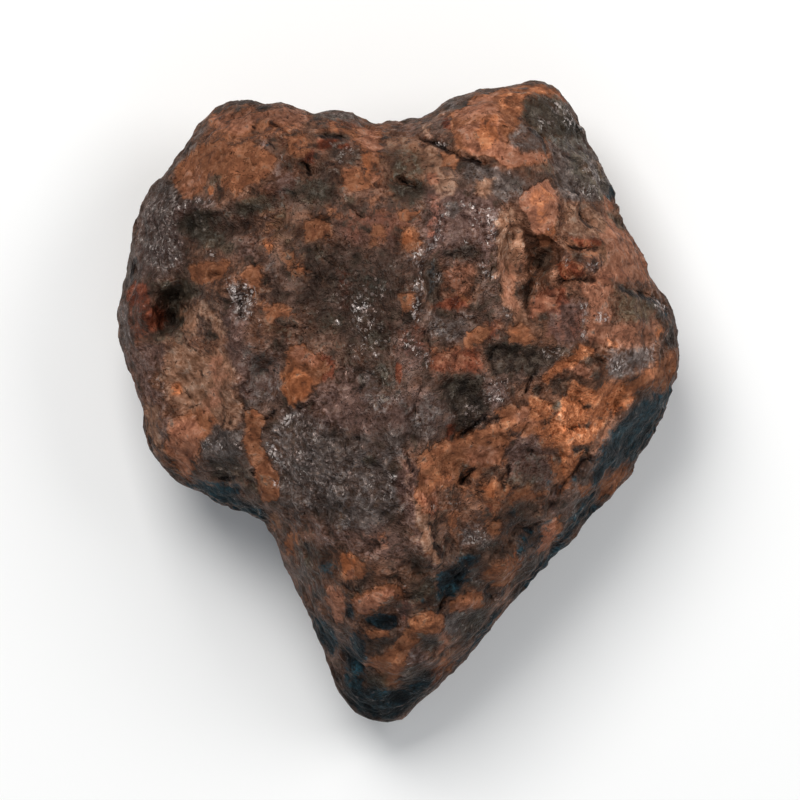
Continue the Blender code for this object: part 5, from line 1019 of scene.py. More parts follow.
def calm_table(spread=5.0):
    angles, radii = outline_table()
    even = np.linspace(-math.pi, math.pi, 721)[:-1]
    r = around(even, angles, radii)
    r = np.minimum.reduce([np.roll(r, k) for k in range(-5, 6)])
    width = np.arange(-40, 41)
    w = np.exp(-0.5 * (width * 0.5 / spread) ** 2)
    w /= w.sum()
    return even, sum(np.roll(r, k) * a for k, a in zip(width, w))


def rim_table():
    p = np.array(RIM, float)
    a = heading(p)
    order = np.argsort(a)
    return a[order], p[order, 2:]


def profile_table(aspect, powers=np.linspace(2.0, 5.0, 25), steps=257):
    s = 1.0 - (1.0 - np.linspace(0, 1, 4001)) ** 3
    walk = np.linspace(0, 1, steps)
    reach, rise = [], []
    for k in powers:
        h = np.clip(1.0 - s ** k, 0, 1) ** (1.0 / k)
        run = np.concatenate([[0.0], np.cumsum(np.hypot(np.diff(s), aspect * np.diff(h)))])
        reach.append(np.interp(walk, run / run[-1], s))
        rise.append(np.interp(walk, run / run[-1], h))
    return powers, walk, np.array(reach), np.array(rise)


def read_profile(table, power, walk):
    powers, grid, reach, rise = table
    a = np.clip((power - powers[0]) / (powers[1] - powers[0]), 0, len(powers) - 1.001)
    b = np.clip(walk * (len(grid) - 1), 0, len(grid) - 1.001)
    i, j = a.astype(int), b.astype(int)
    u, v = a - i, b - j

    def blend(t):
        return ((t[i, j] * (1 - u) + t[i + 1, j] * u) * (1 - v)
                + (t[i, j + 1] * (1 - u) + t[i + 1, j + 1] * u) * v)

    return blend(reach), blend(rise)


def lattice(i, seed):
    h = (i[:, 0] * 374761393 + i[:, 1] * 668265263 + i[:, 2] * 2147483647 + seed * 1274126177) & 0xFFFFFFFF
    h = ((h ^ (h >> 13)) * 1274126177) & 0xFFFFFFFF
    h = ((h ^ (h >> 16)) * 2246822519) & 0xFFFFFFFF
    return ((h ^ (h >> 15)) & 0xFFFFFF) / float(0xFFFFFF)


def noise(p, seed=0):
    """Seeded value noise in space, -1 to 1."""
    f = np.floor(p)
    t = p - f
    t = t * t * t * (t * (t * 6 - 15) + 10)
    i = f.astype(np.int64)
    out = np.zeros(len(p))
    for c in np.ndindex(2, 2, 2):
        w = np.ones(len(p))
        for k in range(3):
            w = w * (t[:, k] if c[k] else 1 - t[:, k])
        out += w * lattice(i + np.array(c), seed)
    return out * 2 - 1


def slopes(p, seed=0):
    """Seeded gradient noise in space, about -1 to 1."""
    f = np.floor(p)
    r = p - f
    t = r * r * r * (r * (r * 6 - 15) + 10)
    i = f.astype(np.int64)
    out = np.zeros(len(p))
    for c in np.ndindex(2, 2, 2):
        w = np.ones(len(p))
        for k in range(3):
            w = w * (t[:, k] if c[k] else 1 - t[:, k])
        at = i + np.array(c)
        dot = sum((lattice(at, seed + 31 * k) * 2 - 1) * (r[:, k] - c[k]) for k in range(3))
        out += w * dot
    return out * 1.9


def layered(p, scale, layers, gain=0.5, seed=0):
    q, amp, total, out = p / scale, 1.0, 0.0, np.zeros(len(p))
    for k in range(layers):
        out += amp * noise(q + 17.3 * k, seed + 7 * k)
        total += amp
        amp *= gain
        q = q * 2.03
    return out / total


def rolling(p, scale, layers, gain=0.5, seed=0):
    q, amp, total, out = p / scale, 1.0, 0.0, np.zeros(len(p))
    for k in range(layers):
        out += amp * slopes(q + 11.9 * k, seed + 13 * k)
        total += amp
        amp *= gain
        q = q * 2.07
    return out / total


def creased(p, scale, layers, gain=0.5, seed=0):
    """Layered noise with sharp crests, as broken stone has."""
    q, amp, total, out = p / scale, 1.0, 0.0, np.zeros(len(p))
    for k in range(layers):
        out += amp * (1.0 - 2.0 * np.abs(noise(q + 9.7 * k, seed + 5 * k)))
        total += amp
        amp *= gain
        q = q * 2.11
    return out / total


def bowl(x, y, cx, cy, rx, ry, turn, power):
    a = math.radians(turn)
    dx, dy = x - cx, y - cy
    u = (dx * math.cos(a) + dy * math.sin(a)) / rx
    v = (-dx * math.sin(a) + dy * math.cos(a)) / ry
    return np.clip(1.0 - u * u - v * v, 0.0, 1.0) ** power


def along_line(x, y, line):
    """Distance to a line on the sheet, the side (+1 on the right hand) and the share of the way along it."""
    best = np.full(x.shape, 1e9)
    side, share = np.zeros(x.shape), np.zeros(x.shape)
    p = np.array(line, float)
    lengths = np.hypot(*(p[1:] - p[:-1]).T)
    run = 0.0
    for a, b, n in zip(p[:-1], p[1:], lengths):
        ux, uy = (b - a) / n
        t = np.clip((x - a[0]) * ux + (y - a[1]) * uy, 0, n)
        d = np.hypot(x - a[0] - t * ux, y - a[1] - t * uy)
        near = d < best
        best = np.where(near, d, best)
        side = np.where(near, np.sign(ux * (y - a[1]) - uy * (x - a[0])), side)
        share = np.where(near, (run + t) / lengths.sum(), share)
        run += n
    return best, side, share


def close_to(x, y, points, reach):
    p = np.array(points, float)
    lo, hi = p.min(axis=0) - reach, p.max(axis=0) + reach
    return (x > lo[0]) & (x < hi[0]) & (y > lo[1]) & (y < hi[1])


def edge(x, y, line, width, reach):
    d, side, share = along_line(x, y, line)
    ends = smooth01(share / 0.2) * smooth01((1 - share) / 0.2)
    return (smooth01(0.5 + d * side / (2 * width)) - 0.5) * np.clip(1.0 - d / reach, 0, 1) ** 1.5 * ends


def crack(x, y, line, width):
    d, _, share = along_line(x, y, line)
    ends = smooth01(share / 0.25) * smooth01((1 - share) / 0.25)
    return np.clip(1.0 - d / (width * (0.45 + 0.55 * ends)), 0, 1) ** 1.3 * ends


def strayed(x, y, reach, scale=30, seed=51):
    """Sheet points moved a little, so that drawn shapes get natural outlines."""
    p = np.stack([x, y, np.zeros_like(x)], 1)
    return (x + reach * layered(p, scale, 2, 0.5, seed), y + reach * layered(p, scale, 2, 0.5, seed + 16))


def skin(directions):
    """Where each direction of a unit ball lands on the stone: sheet x, sheet y, height in mm, the height of the
    widest line there, and whether it lies above that line."""
    d = directions / np.linalg.norm(directions, axis=1)[:, None]
    theta = np.arctan2(-d[:, 1], d[:, 0])
    tilt = np.arccos(np.clip(d[:, 2], -1, 1))
    brink = math.acos(1 - 2 * UPPER_SHARE)
    above = tilt <= brink
    walk = np.where(above, np.sin(tilt / 2) / math.sin(brink / 2),
                    np.sin((math.pi - tilt) / 2) / math.sin((math.pi - brink) / 2))
    walk = np.clip(walk, 0, 1)
    angles, values = rim_table()
    height, upper_power, lower_power = [around(theta, angles, values[:, i]) for i in range(3)]
    reach_u, rise_u = read_profile(profile_table(0.42), upper_power, walk)
    reach_l, rise_l = read_profile(profile_table(0.30), lower_power, walk)
    reach, rise = np.where(above, reach_u, reach_l), np.where(above, rise_u, rise_l)
    calm = around(theta, *calm_table())
    radius = (calm + (around(theta, *outline_table()) - calm) * (1 - smooth01(rise / 0.7))) * reach
    radius = radius * 0.993
    x, y = POLE[0] + radius * np.cos(theta), POLE[1] + radius * np.sin(theta)
    wx, wy = strayed(x, y, 5.0)
    wx, wy = strayed(wx, wy, 2.6, 10, 91)
    top = Sounded(UPPER)(x, y)
    top += SWELL * (CROWN - top)
    for cx, cy, rx, ry, turn, depth, power in HOLLOWS:
        top -= depth * bowl(wx, wy, cx, cy, rx, ry, turn, power)
    for line, width, span, drop in EDGES:
        near = close_to(wx, wy, line, span)
        top[near] -= drop * edge(wx[near], wy[near], line, width, span)
    for line, width, depth in CRACKS:
        near = close_to(wx, wy, line, width + 1)
        top[near] -= depth * crack(wx[near], wy[near], line, width)
    under = Sounded(UNDER)(x, y)
    under = np.where(under > 0, SAG * under, under)
    z = height + np.where(above, (top - height) * rise, (under - height) * rise)
    return x, y, z, height, above


def to_metres(x, y, z):
    return np.stack([(x - SHEET_CENTRE[0]) * UNIT, (SHEET_CENTRE[1] - y) * UNIT, z * 0.001], 1)


def broken(p, height, above):
    """Flat breaks on the shoulders, the walls and the underside."""
    angles, radii = outline_table()
    angles, radii = angles[::40], radii[::40]
    rim = to_metres(POLE[0] + radii * np.cos(angles), POLE[1] + radii * np.sin(angles),
                    around(angles, rim_table()[0], rim_table()[1][:, 0]))
    for x, y, z, head, tilt, reach in FACES:
        h, e = math.radians(head), math.radians(tilt)
        n = np.array([math.cos(h) * math.sin(e), math.sin(h) * math.sin(e), math.cos(e)])
        a = to_metres(np.array([float(x)]), np.array([float(y)]), np.array([float(z)]))[0]
        near = smooth01((1.25 * reach * UNIT - np.linalg.norm(p - a, axis=1)) / (0.5 * reach * UNIT))
        p = p - np.outer(np.where(above, near, 0.0) * np.clip((p - a) @ n, 0, None) * 0.88, n)
    for head, down, off in BREAKS:
        h, e = math.radians(head), math.radians(down)
        n = np.array([math.cos(h) * math.cos(e), math.sin(h) * math.cos(e), -math.sin(e)])
        proud = p @ n - ((rim @ n).max() + off * 0.001)
        p = p - np.outer(np.where(above, 0.0, np.clip(proud, 0, None)) * 0.9, n)
    return p


def face_normals(p, corners):
    n = np.zeros_like(p)
    q = p[corners]
    cross = np.cross(q[:, 2] - q[:, 0], q[:, 3] - q[:, 1])
    for k in range(4):
        for axis in range(3):
            n[:, axis] += np.bincount(corners[:, k], cross[:, axis], len(p))
    return n / np.maximum(np.linalg.norm(n, axis=1), 1e-12)[:, None]


def relief(p, n, height, above):
    """Displacement along the surface in metres: thumbprints below the widest line, broken texture everywhere."""
    q = p / UNIT
    calm = smooth01(np.abs(p[:, 2] * 1000 - height) / 5.0)
    move = 0.0009 * creased(q, 66, 2, 0.5, 5) * (0.2 + 0.8 * calm) * np.where(above, 0.7, 1.0)
    move += 0.0012 * creased(q, 110, 2, 0.5, 15) * np.where(above, 0.2, 1.0) * calm
    move += 0.00045 * creased(q, 30, 2, 0.5, 23) * (0.5 + 0.5 * calm)
    for x, y, z, radius, depth in THUMBPRINTS:
        c = to_metres(np.array([float(x)]), np.array([float(y)]), np.array([float(z)]))[0]
        r = np.linalg.norm((p - c) / (radius * 0.001), axis=1)
        move -= np.where(above, calm, 1.0) * depth * 0.001 * smooth01(1.0 - r) * (0.3 + 0.7 * calm)
    return move


def cells(q, seed):
    """Distances to the nearest two of a cloud of seeded points, and a seeded direction for the nearest."""
    f = np.floor(q)
    i = f.astype(np.int64)
    one, two = np.full(len(q), 1e9), np.full(len(q), 1e9)
    off, own = np.zeros((len(q), 3)), np.zeros((len(q), 3))
    for c in np.ndindex(3, 3, 3):
        at = i + np.array(c) - 1
        v = q - at - np.stack([lattice(at, seed + k) for k in range(3)], 1)
        d = np.einsum("ij,ij->i", v, v)
        near = d < one
        two = np.where(near, one, np.minimum(two, d))
        one = np.where(near, d, one)
        off[near] = v[near]
        own[near] = np.stack([lattice(at[near], seed + 11 + k) for k in range(3)], 1) * 2 - 1
    return np.sqrt(one), np.sqrt(two), off, own


def chips(q, size, seed):
    """Small flat chips, each tilted its own way, from -1 to 1."""
    warped = q / size + 0.25 * np.stack([rolling(q + 100.0 * k, size * 0.9, 2, 0.5, seed + k) for k in range(3)], 1)
    one, two, off, own = cells(warped, seed)
    return np.einsum("ij,ij->i", off, own) + 0.22 * own[:, 0] - 0.16 * (1 - smooth01((two - one) / 0.12))


def pocks(q, size, seed):
    warped = q / size + 0.35 * np.stack([rolling(q + 70.0 * k, size * 0.7, 2, 0.5, seed + k) for k in range(3)], 1)
    one, _, _, own = cells(warped, seed)
    return smooth01(1.0 - one / (0.36 + 0.14 * own[:, 1])) * (own[:, 0] > 0.0)


def fibres(q, size, stretch, degrees, seed):
    """Noise drawn out along one heading of the sheet."""
    a = math.radians(degrees)
    u = q[:, 0] * math.cos(a) + q[:, 1] * math.sin(a)
    v = -q[:, 0] * math.sin(a) + q[:, 1] * math.cos(a)
    return rolling(np.stack([u / stretch, v, q[:, 2] * 0.7], 1), size, 2, 0.55, seed)


def fine(p, n, height, zones):
    """The broken texture of the crust, in metres along the surface."""
    q = p / UNIT
    stir = np.stack([rolling(q + 50.0 * k, 30, 3, 0.55, 71 + k) for k in range(3)], 1)
    w = q + 9.0 * stir
    mood = smooth01(0.5 + 1.4 * rolling(q, 62, 2, 0.5, 81))
    mood_b = smooth01(0.5 + 1.4 * rolling(q, 46, 2, 0.5, 83))
    brink = smooth01(np.abs(p[:, 2] * 1000 - height) / 5.0)
    dusty = np.clip(zones["rust"] * 0.35 + zones["tan"] * 0.5 + zones["bright"] * 0.2, 0, 0.6)
    glassy = np.clip(zones["spark"] + 0.5 * zones["grey"], 0, 1)
    move = 0.00080 * chips(w, 34, 31) * (0.2 + 0.8 * mood) * (0.2 + 0.8 * brink)
    move += 0.00038 * creased(w, 22, 2, 0.5, 33) * (0.3 + 0.7 * brink)
    move += 0.00044 * chips(w, 16, 35) * (0.25 + 0.75 * mood_b) * (1 - 0.6 * dusty) * (0.5 + 0.5 * brink)
    move += 0.00026 * chips(q + 3.0 * stir, 8.5, 37) * (0.3 + 0.7 * mood) * (1 - 0.7 * dusty)
    move += 0.00014 * rolling(w, 9, 3, 0.6, 41)
    # broken steps, each a few tenths of a millimetre high
    lay = rolling(w, 48, 2, 0.5, 43) * 7.0
    step = np.floor(lay) + smooth01((lay - np.floor(lay) - 0.35) / 0.3)
    move += 0.00022 * (step - lay) * smooth01(rolling(q, 70, 1, 0.5, 44) * 2.0 + 0.5)
    move -= 0.00050 * pocks(q, 12, 45) * smooth01(rolling(q, 38, 2, 0.5, 47) * 2.2 + 0.1)
    move -= 0.00030 * pocks(q, 6.5, 49) * smooth01(rolling(q, 30, 2, 0.5, 53) * 2.2 + 0.3)
    for degrees, seed in ((-38, 1), (12, 2), (70, 3)):
        where = smooth01(rolling(q, 70, 1, 0.5, 160 + seed) * 2.4 + 0.35)
        move += 0.00012 * fibres(w, 5.0, 2.4, degrees, 170 + seed) * where * (1 - 0.5 * dusty)
    return move, 0.00007 * rolling(q, 5, 2, 0.6, 62) + glassy * 0.00013 * chips(q, 4.8, 61)


# ------------------------------------------------------------------------------------------------------------------
# Painted zones
# ------------------------------------------------------------------------------------------------------------------
def drawn_shape(x, y, points, soft):
    """1 inside a closed shape, 0 outside, with an edge of the given softness."""
    out = np.zeros(len(x))
    near = close_to(x, y, points, soft * 1.5)
    px, py = x[near], y[near]
    inside = np.zeros(len(px), bool)
    best = np.full(len(px), 1e9)
    pts = np.array(points, float)
    for (ax, ay), (bx, by) in zip(pts, np.roll(pts, -1, axis=0)):
        dx, dy = bx - ax, by - ay
        t = np.clip(((px - ax) * dx + (py - ay) * dy) / (dx * dx + dy * dy), 0, 1)
        best = np.minimum(best, np.hypot(px - ax - t * dx, py - ay - t * dy))
        if dy != 0:
            inside ^= ((ay > py) != (by > py)) & (px < dx * (py - ay) / dy + ax)
    out[near] = smooth01(0.5 + np.where(inside, best, -best) / (2 * soft))
    return out


BLEND = {"dark": 1.9, "olive": 1.9, "blue": 2.2, "grey": 1.7, "violet": 1.7, "spark": 1.25, "worn": 1.0, "grimy": 1.0}


def seed_of(name):
    return BELOW[name][1] if name in BELOW else len(name)


def zone_values(p, normals, height):
    """How much of each kind of crust there is at each point, from the drawn shapes above the widest line and from
    seeded noise below it."""
    x, y = p[:, 0] / UNIT + SHEET_CENTRE[0], SHEET_CENTRE[1] - p[:, 1] / UNIT
    q = p / UNIT
    sway_x = 6.0 * rolling(q, 19, 2, 0.6, 131) + 3.4 * rolling(q, 7, 2, 0.6, 132)
    sway_y = 6.0 * rolling(q, 19, 2, 0.6, 133) + 3.4 * rolling(q, 7, 2, 0.6, 134)
    drawn = smooth01((p[:, 2] * 1000 - height + 4.0) / 3.5)
    # on a wall seen edge on the drawn shapes would run down in stripes, so there they wander more and give way to
    # the crust's own patches
    steep = smooth01((0.45 - normals[:, 2]) / 0.35)
    drawn *= (1 - 0.20 * steep) * (1 - 0.60 * smooth01((0.30 - normals[:, 2]) / 0.26))
    sway_x, sway_y = sway_x * (1 + 1.6 * steep), sway_y * (1 + 1.6 * steep)
    out = {}
    for name, shapes in ZONES.items():
        on_top = np.zeros(len(p))
        for points, strength, soft in shapes:
            # a crisp patch keeps its drawn edge, a soft one wanders
            loose = 0.35 + 0.65 * min(1.0, soft / 6.0)
            on_top = np.maximum(on_top, strength * drawn_shape(x + loose * sway_x, y + loose * sway_y, points,
                                                              soft * BLEND.get(name, 1.4)))
        if name != "spark":
            on_top *= np.clip(1.0 + 0.30 * rolling(q, 24, 2, 0.6, 240 + seed_of(name)), 0.4, 1.25)
        if name in ("worn", "grimy"):
            out[name] = on_top * drawn
            continue
        share, seed = BELOW[name]
        field = rolling(q, 62, 3, 0.55, 200 + seed) * 0.9 + 0.5
        below = smooth01((field - (1.0 - share) + 0.16) / 0.32)
        out[name] = on_top * drawn + below * (1 - drawn) * 0.9
    # dirt in the drawn cracks
    # painted shade along the drawn cracks, darkest on the line
    seam = np.zeros(len(p))
    for line, width, depth in CRACKS:
        near = close_to(x, y, line, 2.5 * width)
        d, _, share = along_line(x[near] + 0.4 * sway_x[near], y[near] + 0.4 * sway_y[near], line)
        ends = smooth01(share / 0.2) * smooth01((1 - share) / 0.2)
        seam[near] = np.maximum(seam[near], min(1.0, depth / 2.0) * ends * np.exp(-(d / (0.3 * width + 1.0)) ** 2))
    out["seam"] = seam * drawn
    # the foot of the walls lies in its own shade and stays darker and bluer
    foot = (1 - drawn) * smooth01((height - p[:, 2] * 1000) / 14.0)
    out["dark"] = np.maximum(out["dark"], 0.35 * foot)
    return out


def ball(side):
    """The corners and faces of an evenly cut cube, its corners bent to spread evenly over a ball."""
    step = np.arange(side + 1)
    keys, faces = [], []
    a, b = np.meshgrid(step, step, indexing="ij")
    for axis in range(3):
        for end in (0, side):
            grid = np.zeros((side + 1, side + 1, 3), np.int64)
            grid[..., axis] = end
            grid[..., (axis + 1) % 3] = a
            grid[..., (axis + 2) % 3] = b
            keys.append(grid.reshape(-1, 3))
            k = (np.arange((side + 1) ** 2) + (len(keys) - 1) * (side + 1) ** 2).reshape(side + 1, side + 1)
            quad = np.stack([k[:-1, :-1], k[1:, :-1], k[1:, 1:], k[:-1, 1:]], -1).reshape(-1, 4)
            faces.append(quad if end else quad[:, ::-1])
    keys, faces = np.concatenate(keys), np.concatenate(faces)
    code = (keys[:, 0] * (side + 1) + keys[:, 1]) * (side + 1) + keys[:, 2]
    _, first, where = np.unique(code, return_index=True, return_inverse=True)
    cube = keys[first] / side * 2.0 - 1.0
    return np.tan(cube * math.pi / 4), where.reshape(-1)[faces]


def links(corners):
    e = np.concatenate([corners[:, [0, 1]], corners[:, [1, 2]], corners[:, [2, 3]], corners[:, [3, 0]]])
    return np.unique(np.sort(e, axis=1), axis=0)


def spread_out(values, e, times):
    """Each point's value averaged with its neighbours', a number of times."""
    count = np.bincount(e.ravel(), minlength=len(values)).astype(float)
    for _ in range(times):
        total = np.zeros_like(values)
        for axis in range(values.shape[1]):
            total[:, axis] = (np.bincount(e[:, 0], values[e[:, 1], axis], len(values))
                              + np.bincount(e[:, 1], values[e[:, 0], axis], len(values)))
        values = 0.5 * values + 0.5 * total / count[:, None]
    return values


def stone():
    bent, corners = ball(CUTS)
    x, y, z, height, above = skin(bent)
    p = broken(to_metres(x, y, z), height, above)
    n = face_normals(p, corners)
    p = p + n * relief(p, n, height, above)[:, None]
    n = face_normals(p, corners)
    zones = zone_values(p, n, height)
    move, grain = fine(p, n, height, zones)
    p = spread_out(p + n * move[:, None], links(corners), 1) + n * grain[:, None]

    # the worn face it rests on: flat, with the least unevenness
    q = p / UNIT
    floor_at = 0.00004 * (1 + rolling(q * np.array([1, 1, 0.0]), 7, 2, 0.5, 301))
    p[:, 2] = np.where(p[:, 2] < floor_at, floor_at, p[:, 2])

    n = face_normals(p, corners)
    zones = zone_values(p, n, height)
    e = links(corners)
    near, wide = spread_out(p, e, 3), spread_out(p, e, 22)
    hollow_near = np.einsum("ij,ij->i", near - p, n) / UNIT
    hollow_wide = np.einsum("ij,ij->i", wide - p, n) / UNIT

    lo, hi = p.min(axis=0), p.max(axis=0)
    shift = np.array([(lo[0] + hi[0]) / 2, (lo[1] + hi[1]) / 2, lo[2]])
    p = p - shift

    mesh = bpy.data.meshes.new("meteorite_crust")
    mesh.vertices.add(len(p))
    mesh.vertices.foreach_set("co", p.astype(np.float32).ravel())
    mesh.loops.add(corners.size)
    mesh.loops.foreach_set("vertex_index", corners.astype(np.int32).ravel())
    mesh.polygons.add(len(corners))
    mesh.polygons.foreach_set("loop_start", np.arange(0, corners.size, 4, dtype=np.int32))
    mesh.update(calc_edges=True)
    mesh.polygons.foreach_set("use_smooth", np.ones(len(corners), bool))

    def keep(name, *channels):
        layer = mesh.attributes.new(name, "FLOAT_COLOR", "POINT")
        data = np.ones((len(p), 4), np.float32)
        for k, c in enumerate(channels):
            data[:, k] = c
        layer.data.foreach_set("color", data.ravel())

    keep("crust_a", zones["rust"], zones["bright"], zones["tan"])
    keep("crust_b", zones["dark"], zones["blue"], zones["grey"])
    keep("crust_c", zones["red"], zones["spark"], zones["brown"])
    keep("crust_e", zones["rose"], zones["olive"], zones["violet"])
    keep("painted_light_shade", zones["worn"], zones["grimy"])
    # how hollow the surface is, near and wide, for the painted shade in hollows and the painted highlight on crests,
    # and the painted shade along the cracks
    keep("crust_d", np.clip(0.5 + hollow_near * 0.25, 0, 1), np.clip(0.5 + hollow_wide * 0.06, 0, 1),
         np.clip(zones["seam"], 0, 1))
    mesh.validate()
    mesh.set_sharp_from_angle(angle=math.radians(48))
    made = bpy.data.objects.new("meteorite_crust", mesh)
    bpy.context.scene.collection.objects.link(made)
    return made, shift


# ------------------------------------------------------------------------------------------------------------------
# Material
# ------------------------------------------------------------------------------------------------------------------
LIT, SHEEN = 0.92, 0.008


def tone(r, g, b):
    """The reflectance that shows on screen, in this light, as a colour given from 0 to 255."""
    lit = [(c / 255 / 12.92 if c / 255 <= 0.04045 else ((c / 255 + 0.055) / 1.055) ** 2.4) for c in (r, g, b)]
    return tuple(max(0.0015, LIT * c - SHEEN) for c in lit) + (1.0,)


class Tree:
    """Short names for building a node tree."""

    def __init__(self, tree):
        self.tree = tree
        self.tree.nodes.clear()
        self.place = self.node("ShaderNodeTexCoord").outputs["Object"]

    def node(self, kind, **settings):
        n = self.tree.nodes.new(kind)
        for name, value in settings.items():
            setattr(n, name, value)
        return n

    def put(self, socket, value):
        if isinstance(value, bpy.types.NodeSocket):
            self.tree.links.new(value, socket)
        else:
            socket.default_value = value

    def math(self, operation, a, b=0.0, clamp=False):
        n = self.node("ShaderNodeMath", operation=operation, use_clamp=clamp)
        self.put(n.inputs[0], a)
        self.put(n.inputs[1], b)
        return n.outputs[0]

    def plus(self, *values):
        out = values[0]
        for v in values[1:]:
            out = self.math("ADD", out, v)
        return out

    def times(self, a, b):
        return self.math("MULTIPLY", a, b)

    def span(self, value, low, high, to_low=0.0, to_high=1.0):
        n = self.node("ShaderNodeMapRange", interpolation_type="SMOOTHSTEP")
        self.put(n.inputs["Value"], value)
        for name, v in (("From Min", low), ("From Max", high), ("To Min", to_low), ("To Max", to_high)):
            self.put(n.inputs[name], v)
        return n.outputs["Result"]

    def mix(self, share, a, b, blend="MIX"):
        n = self.node("ShaderNodeMix", data_type="RGBA", blend_type=blend)
        self.put(n.inputs[0], share)
        self.put(n.inputs[6], a)
        self.put(n.inputs[7], b)
        return n.outputs[2]

    def joined(self, value):
        n = self.node("ShaderNodeCombineXYZ")
        for k in range(3):
            self.put(n.inputs[k], value)
        return n.outputs[0]

    def product(self, a, b):
        n = self.node("ShaderNodeVectorMath", operation="MULTIPLY")
        self.put(n.inputs[0], a)
        self.put(n.inputs[1], b)
        return n.outputs[0]

    def above(self, vector, least):
        n = self.node("ShaderNodeVectorMath", operation="MAXIMUM")
        self.put(n.inputs[0], vector)
        n.inputs[1].default_value = (least, least, least)
        return n.outputs[0]

    def scaled(self, colour, by):
        n = self.node("ShaderNodeVectorMath", operation="SCALE")
        self.put(n.inputs[0], colour)
        self.put(n.inputs["Scale"], by)
        return n.outputs[0]

    def level(self, share, a, b):
        n = self.node("ShaderNodeMix", data_type="FLOAT")
        self.put(n.inputs[0], share)
        self.put(n.inputs[2], a)
        self.put(n.inputs[3], b)
        return n.outputs[0]

    def moved(self, offset, stretch=None, turn=None, vector=None):
        n = self.node("ShaderNodeMapping", vector_type="POINT")
        self.put(n.inputs["Vector"], vector or self.place)
        n.inputs["Location"].default_value = tuple(o * 0.1 for o in offset)
        if stretch:
            n.inputs["Scale"].default_value = stretch
        if turn:
            n.inputs["Rotation"].default_value = tuple(math.radians(t) for t in turn)
        return n.outputs["Vector"]

    def noise(self, size, detail=2.0, rough=0.5, offset=(0, 0, 0), vector=None, distortion=0.0, ridged=False):
        n = self.node("ShaderNodeTexNoise", noise_dimensions="3D")
        if ridged:
            n.noise_type = "RIDGED_MULTIFRACTAL"
            n.inputs["Offset"].default_value = 0.9
            n.inputs["Gain"].default_value = 2.0
        n.normalize = not ridged
        self.put(n.inputs["Vector"], self.moved(offset, vector=vector))
        n.inputs["Scale"].default_value = 1.0 / (size * UNIT)
        n.inputs["Detail"].default_value = detail
        n.inputs["Roughness"].default_value = rough
        n.inputs["Distortion"].default_value = distortion
        return n.outputs["Fac"]

    def cells(self, size, offset=(0, 0, 0), vector=None, feature="F1"):
        n = self.node("ShaderNodeTexVoronoi", voronoi_dimensions="3D", feature=feature)
        self.put(n.inputs["Vector"], self.moved(offset, vector=vector))
        n.inputs["Scale"].default_value = 1.0 / (size * UNIT)
        return n

    def bent(self, reach, size):
        """The place, pushed about a little by coloured noise."""
        n = self.node("ShaderNodeTexNoise", noise_dimensions="3D")
        self.put(n.inputs["Vector"], self.place)
        n.inputs["Scale"].default_value = 1.0 / (size * UNIT)
        n.inputs["Detail"].default_value = 1.0
        off = self.node("ShaderNodeVectorMath", operation="MULTIPLY_ADD")
        self.put(off.inputs[0], n.outputs["Color"])
        off.inputs[1].default_value = (reach, reach, reach)
        self.put(off.inputs[2], self.place)
        return off.outputs[0]

    def ramp(self, value, *stops):
        n = self.node("ShaderNodeValToRGB")
        self.put(n.inputs[0], value)
        e = n.color_ramp.elements
        while len(e) < len(stops):
            e.new(0.5)
        for k, (at, colour) in enumerate(stops):
            e[k].position = at
            e[k].color = tone(*colour)
        return n.outputs["Color"]

    def channels(self, name):
        a = self.node("ShaderNodeAttribute", attribute_type="GEOMETRY", attribute_name=name)
        s = self.node("ShaderNodeSeparateColor")
        self.tree.links.new(a.outputs["Color"], s.inputs[0])
        return s.outputs[0], s.outputs[1], s.outputs[2]


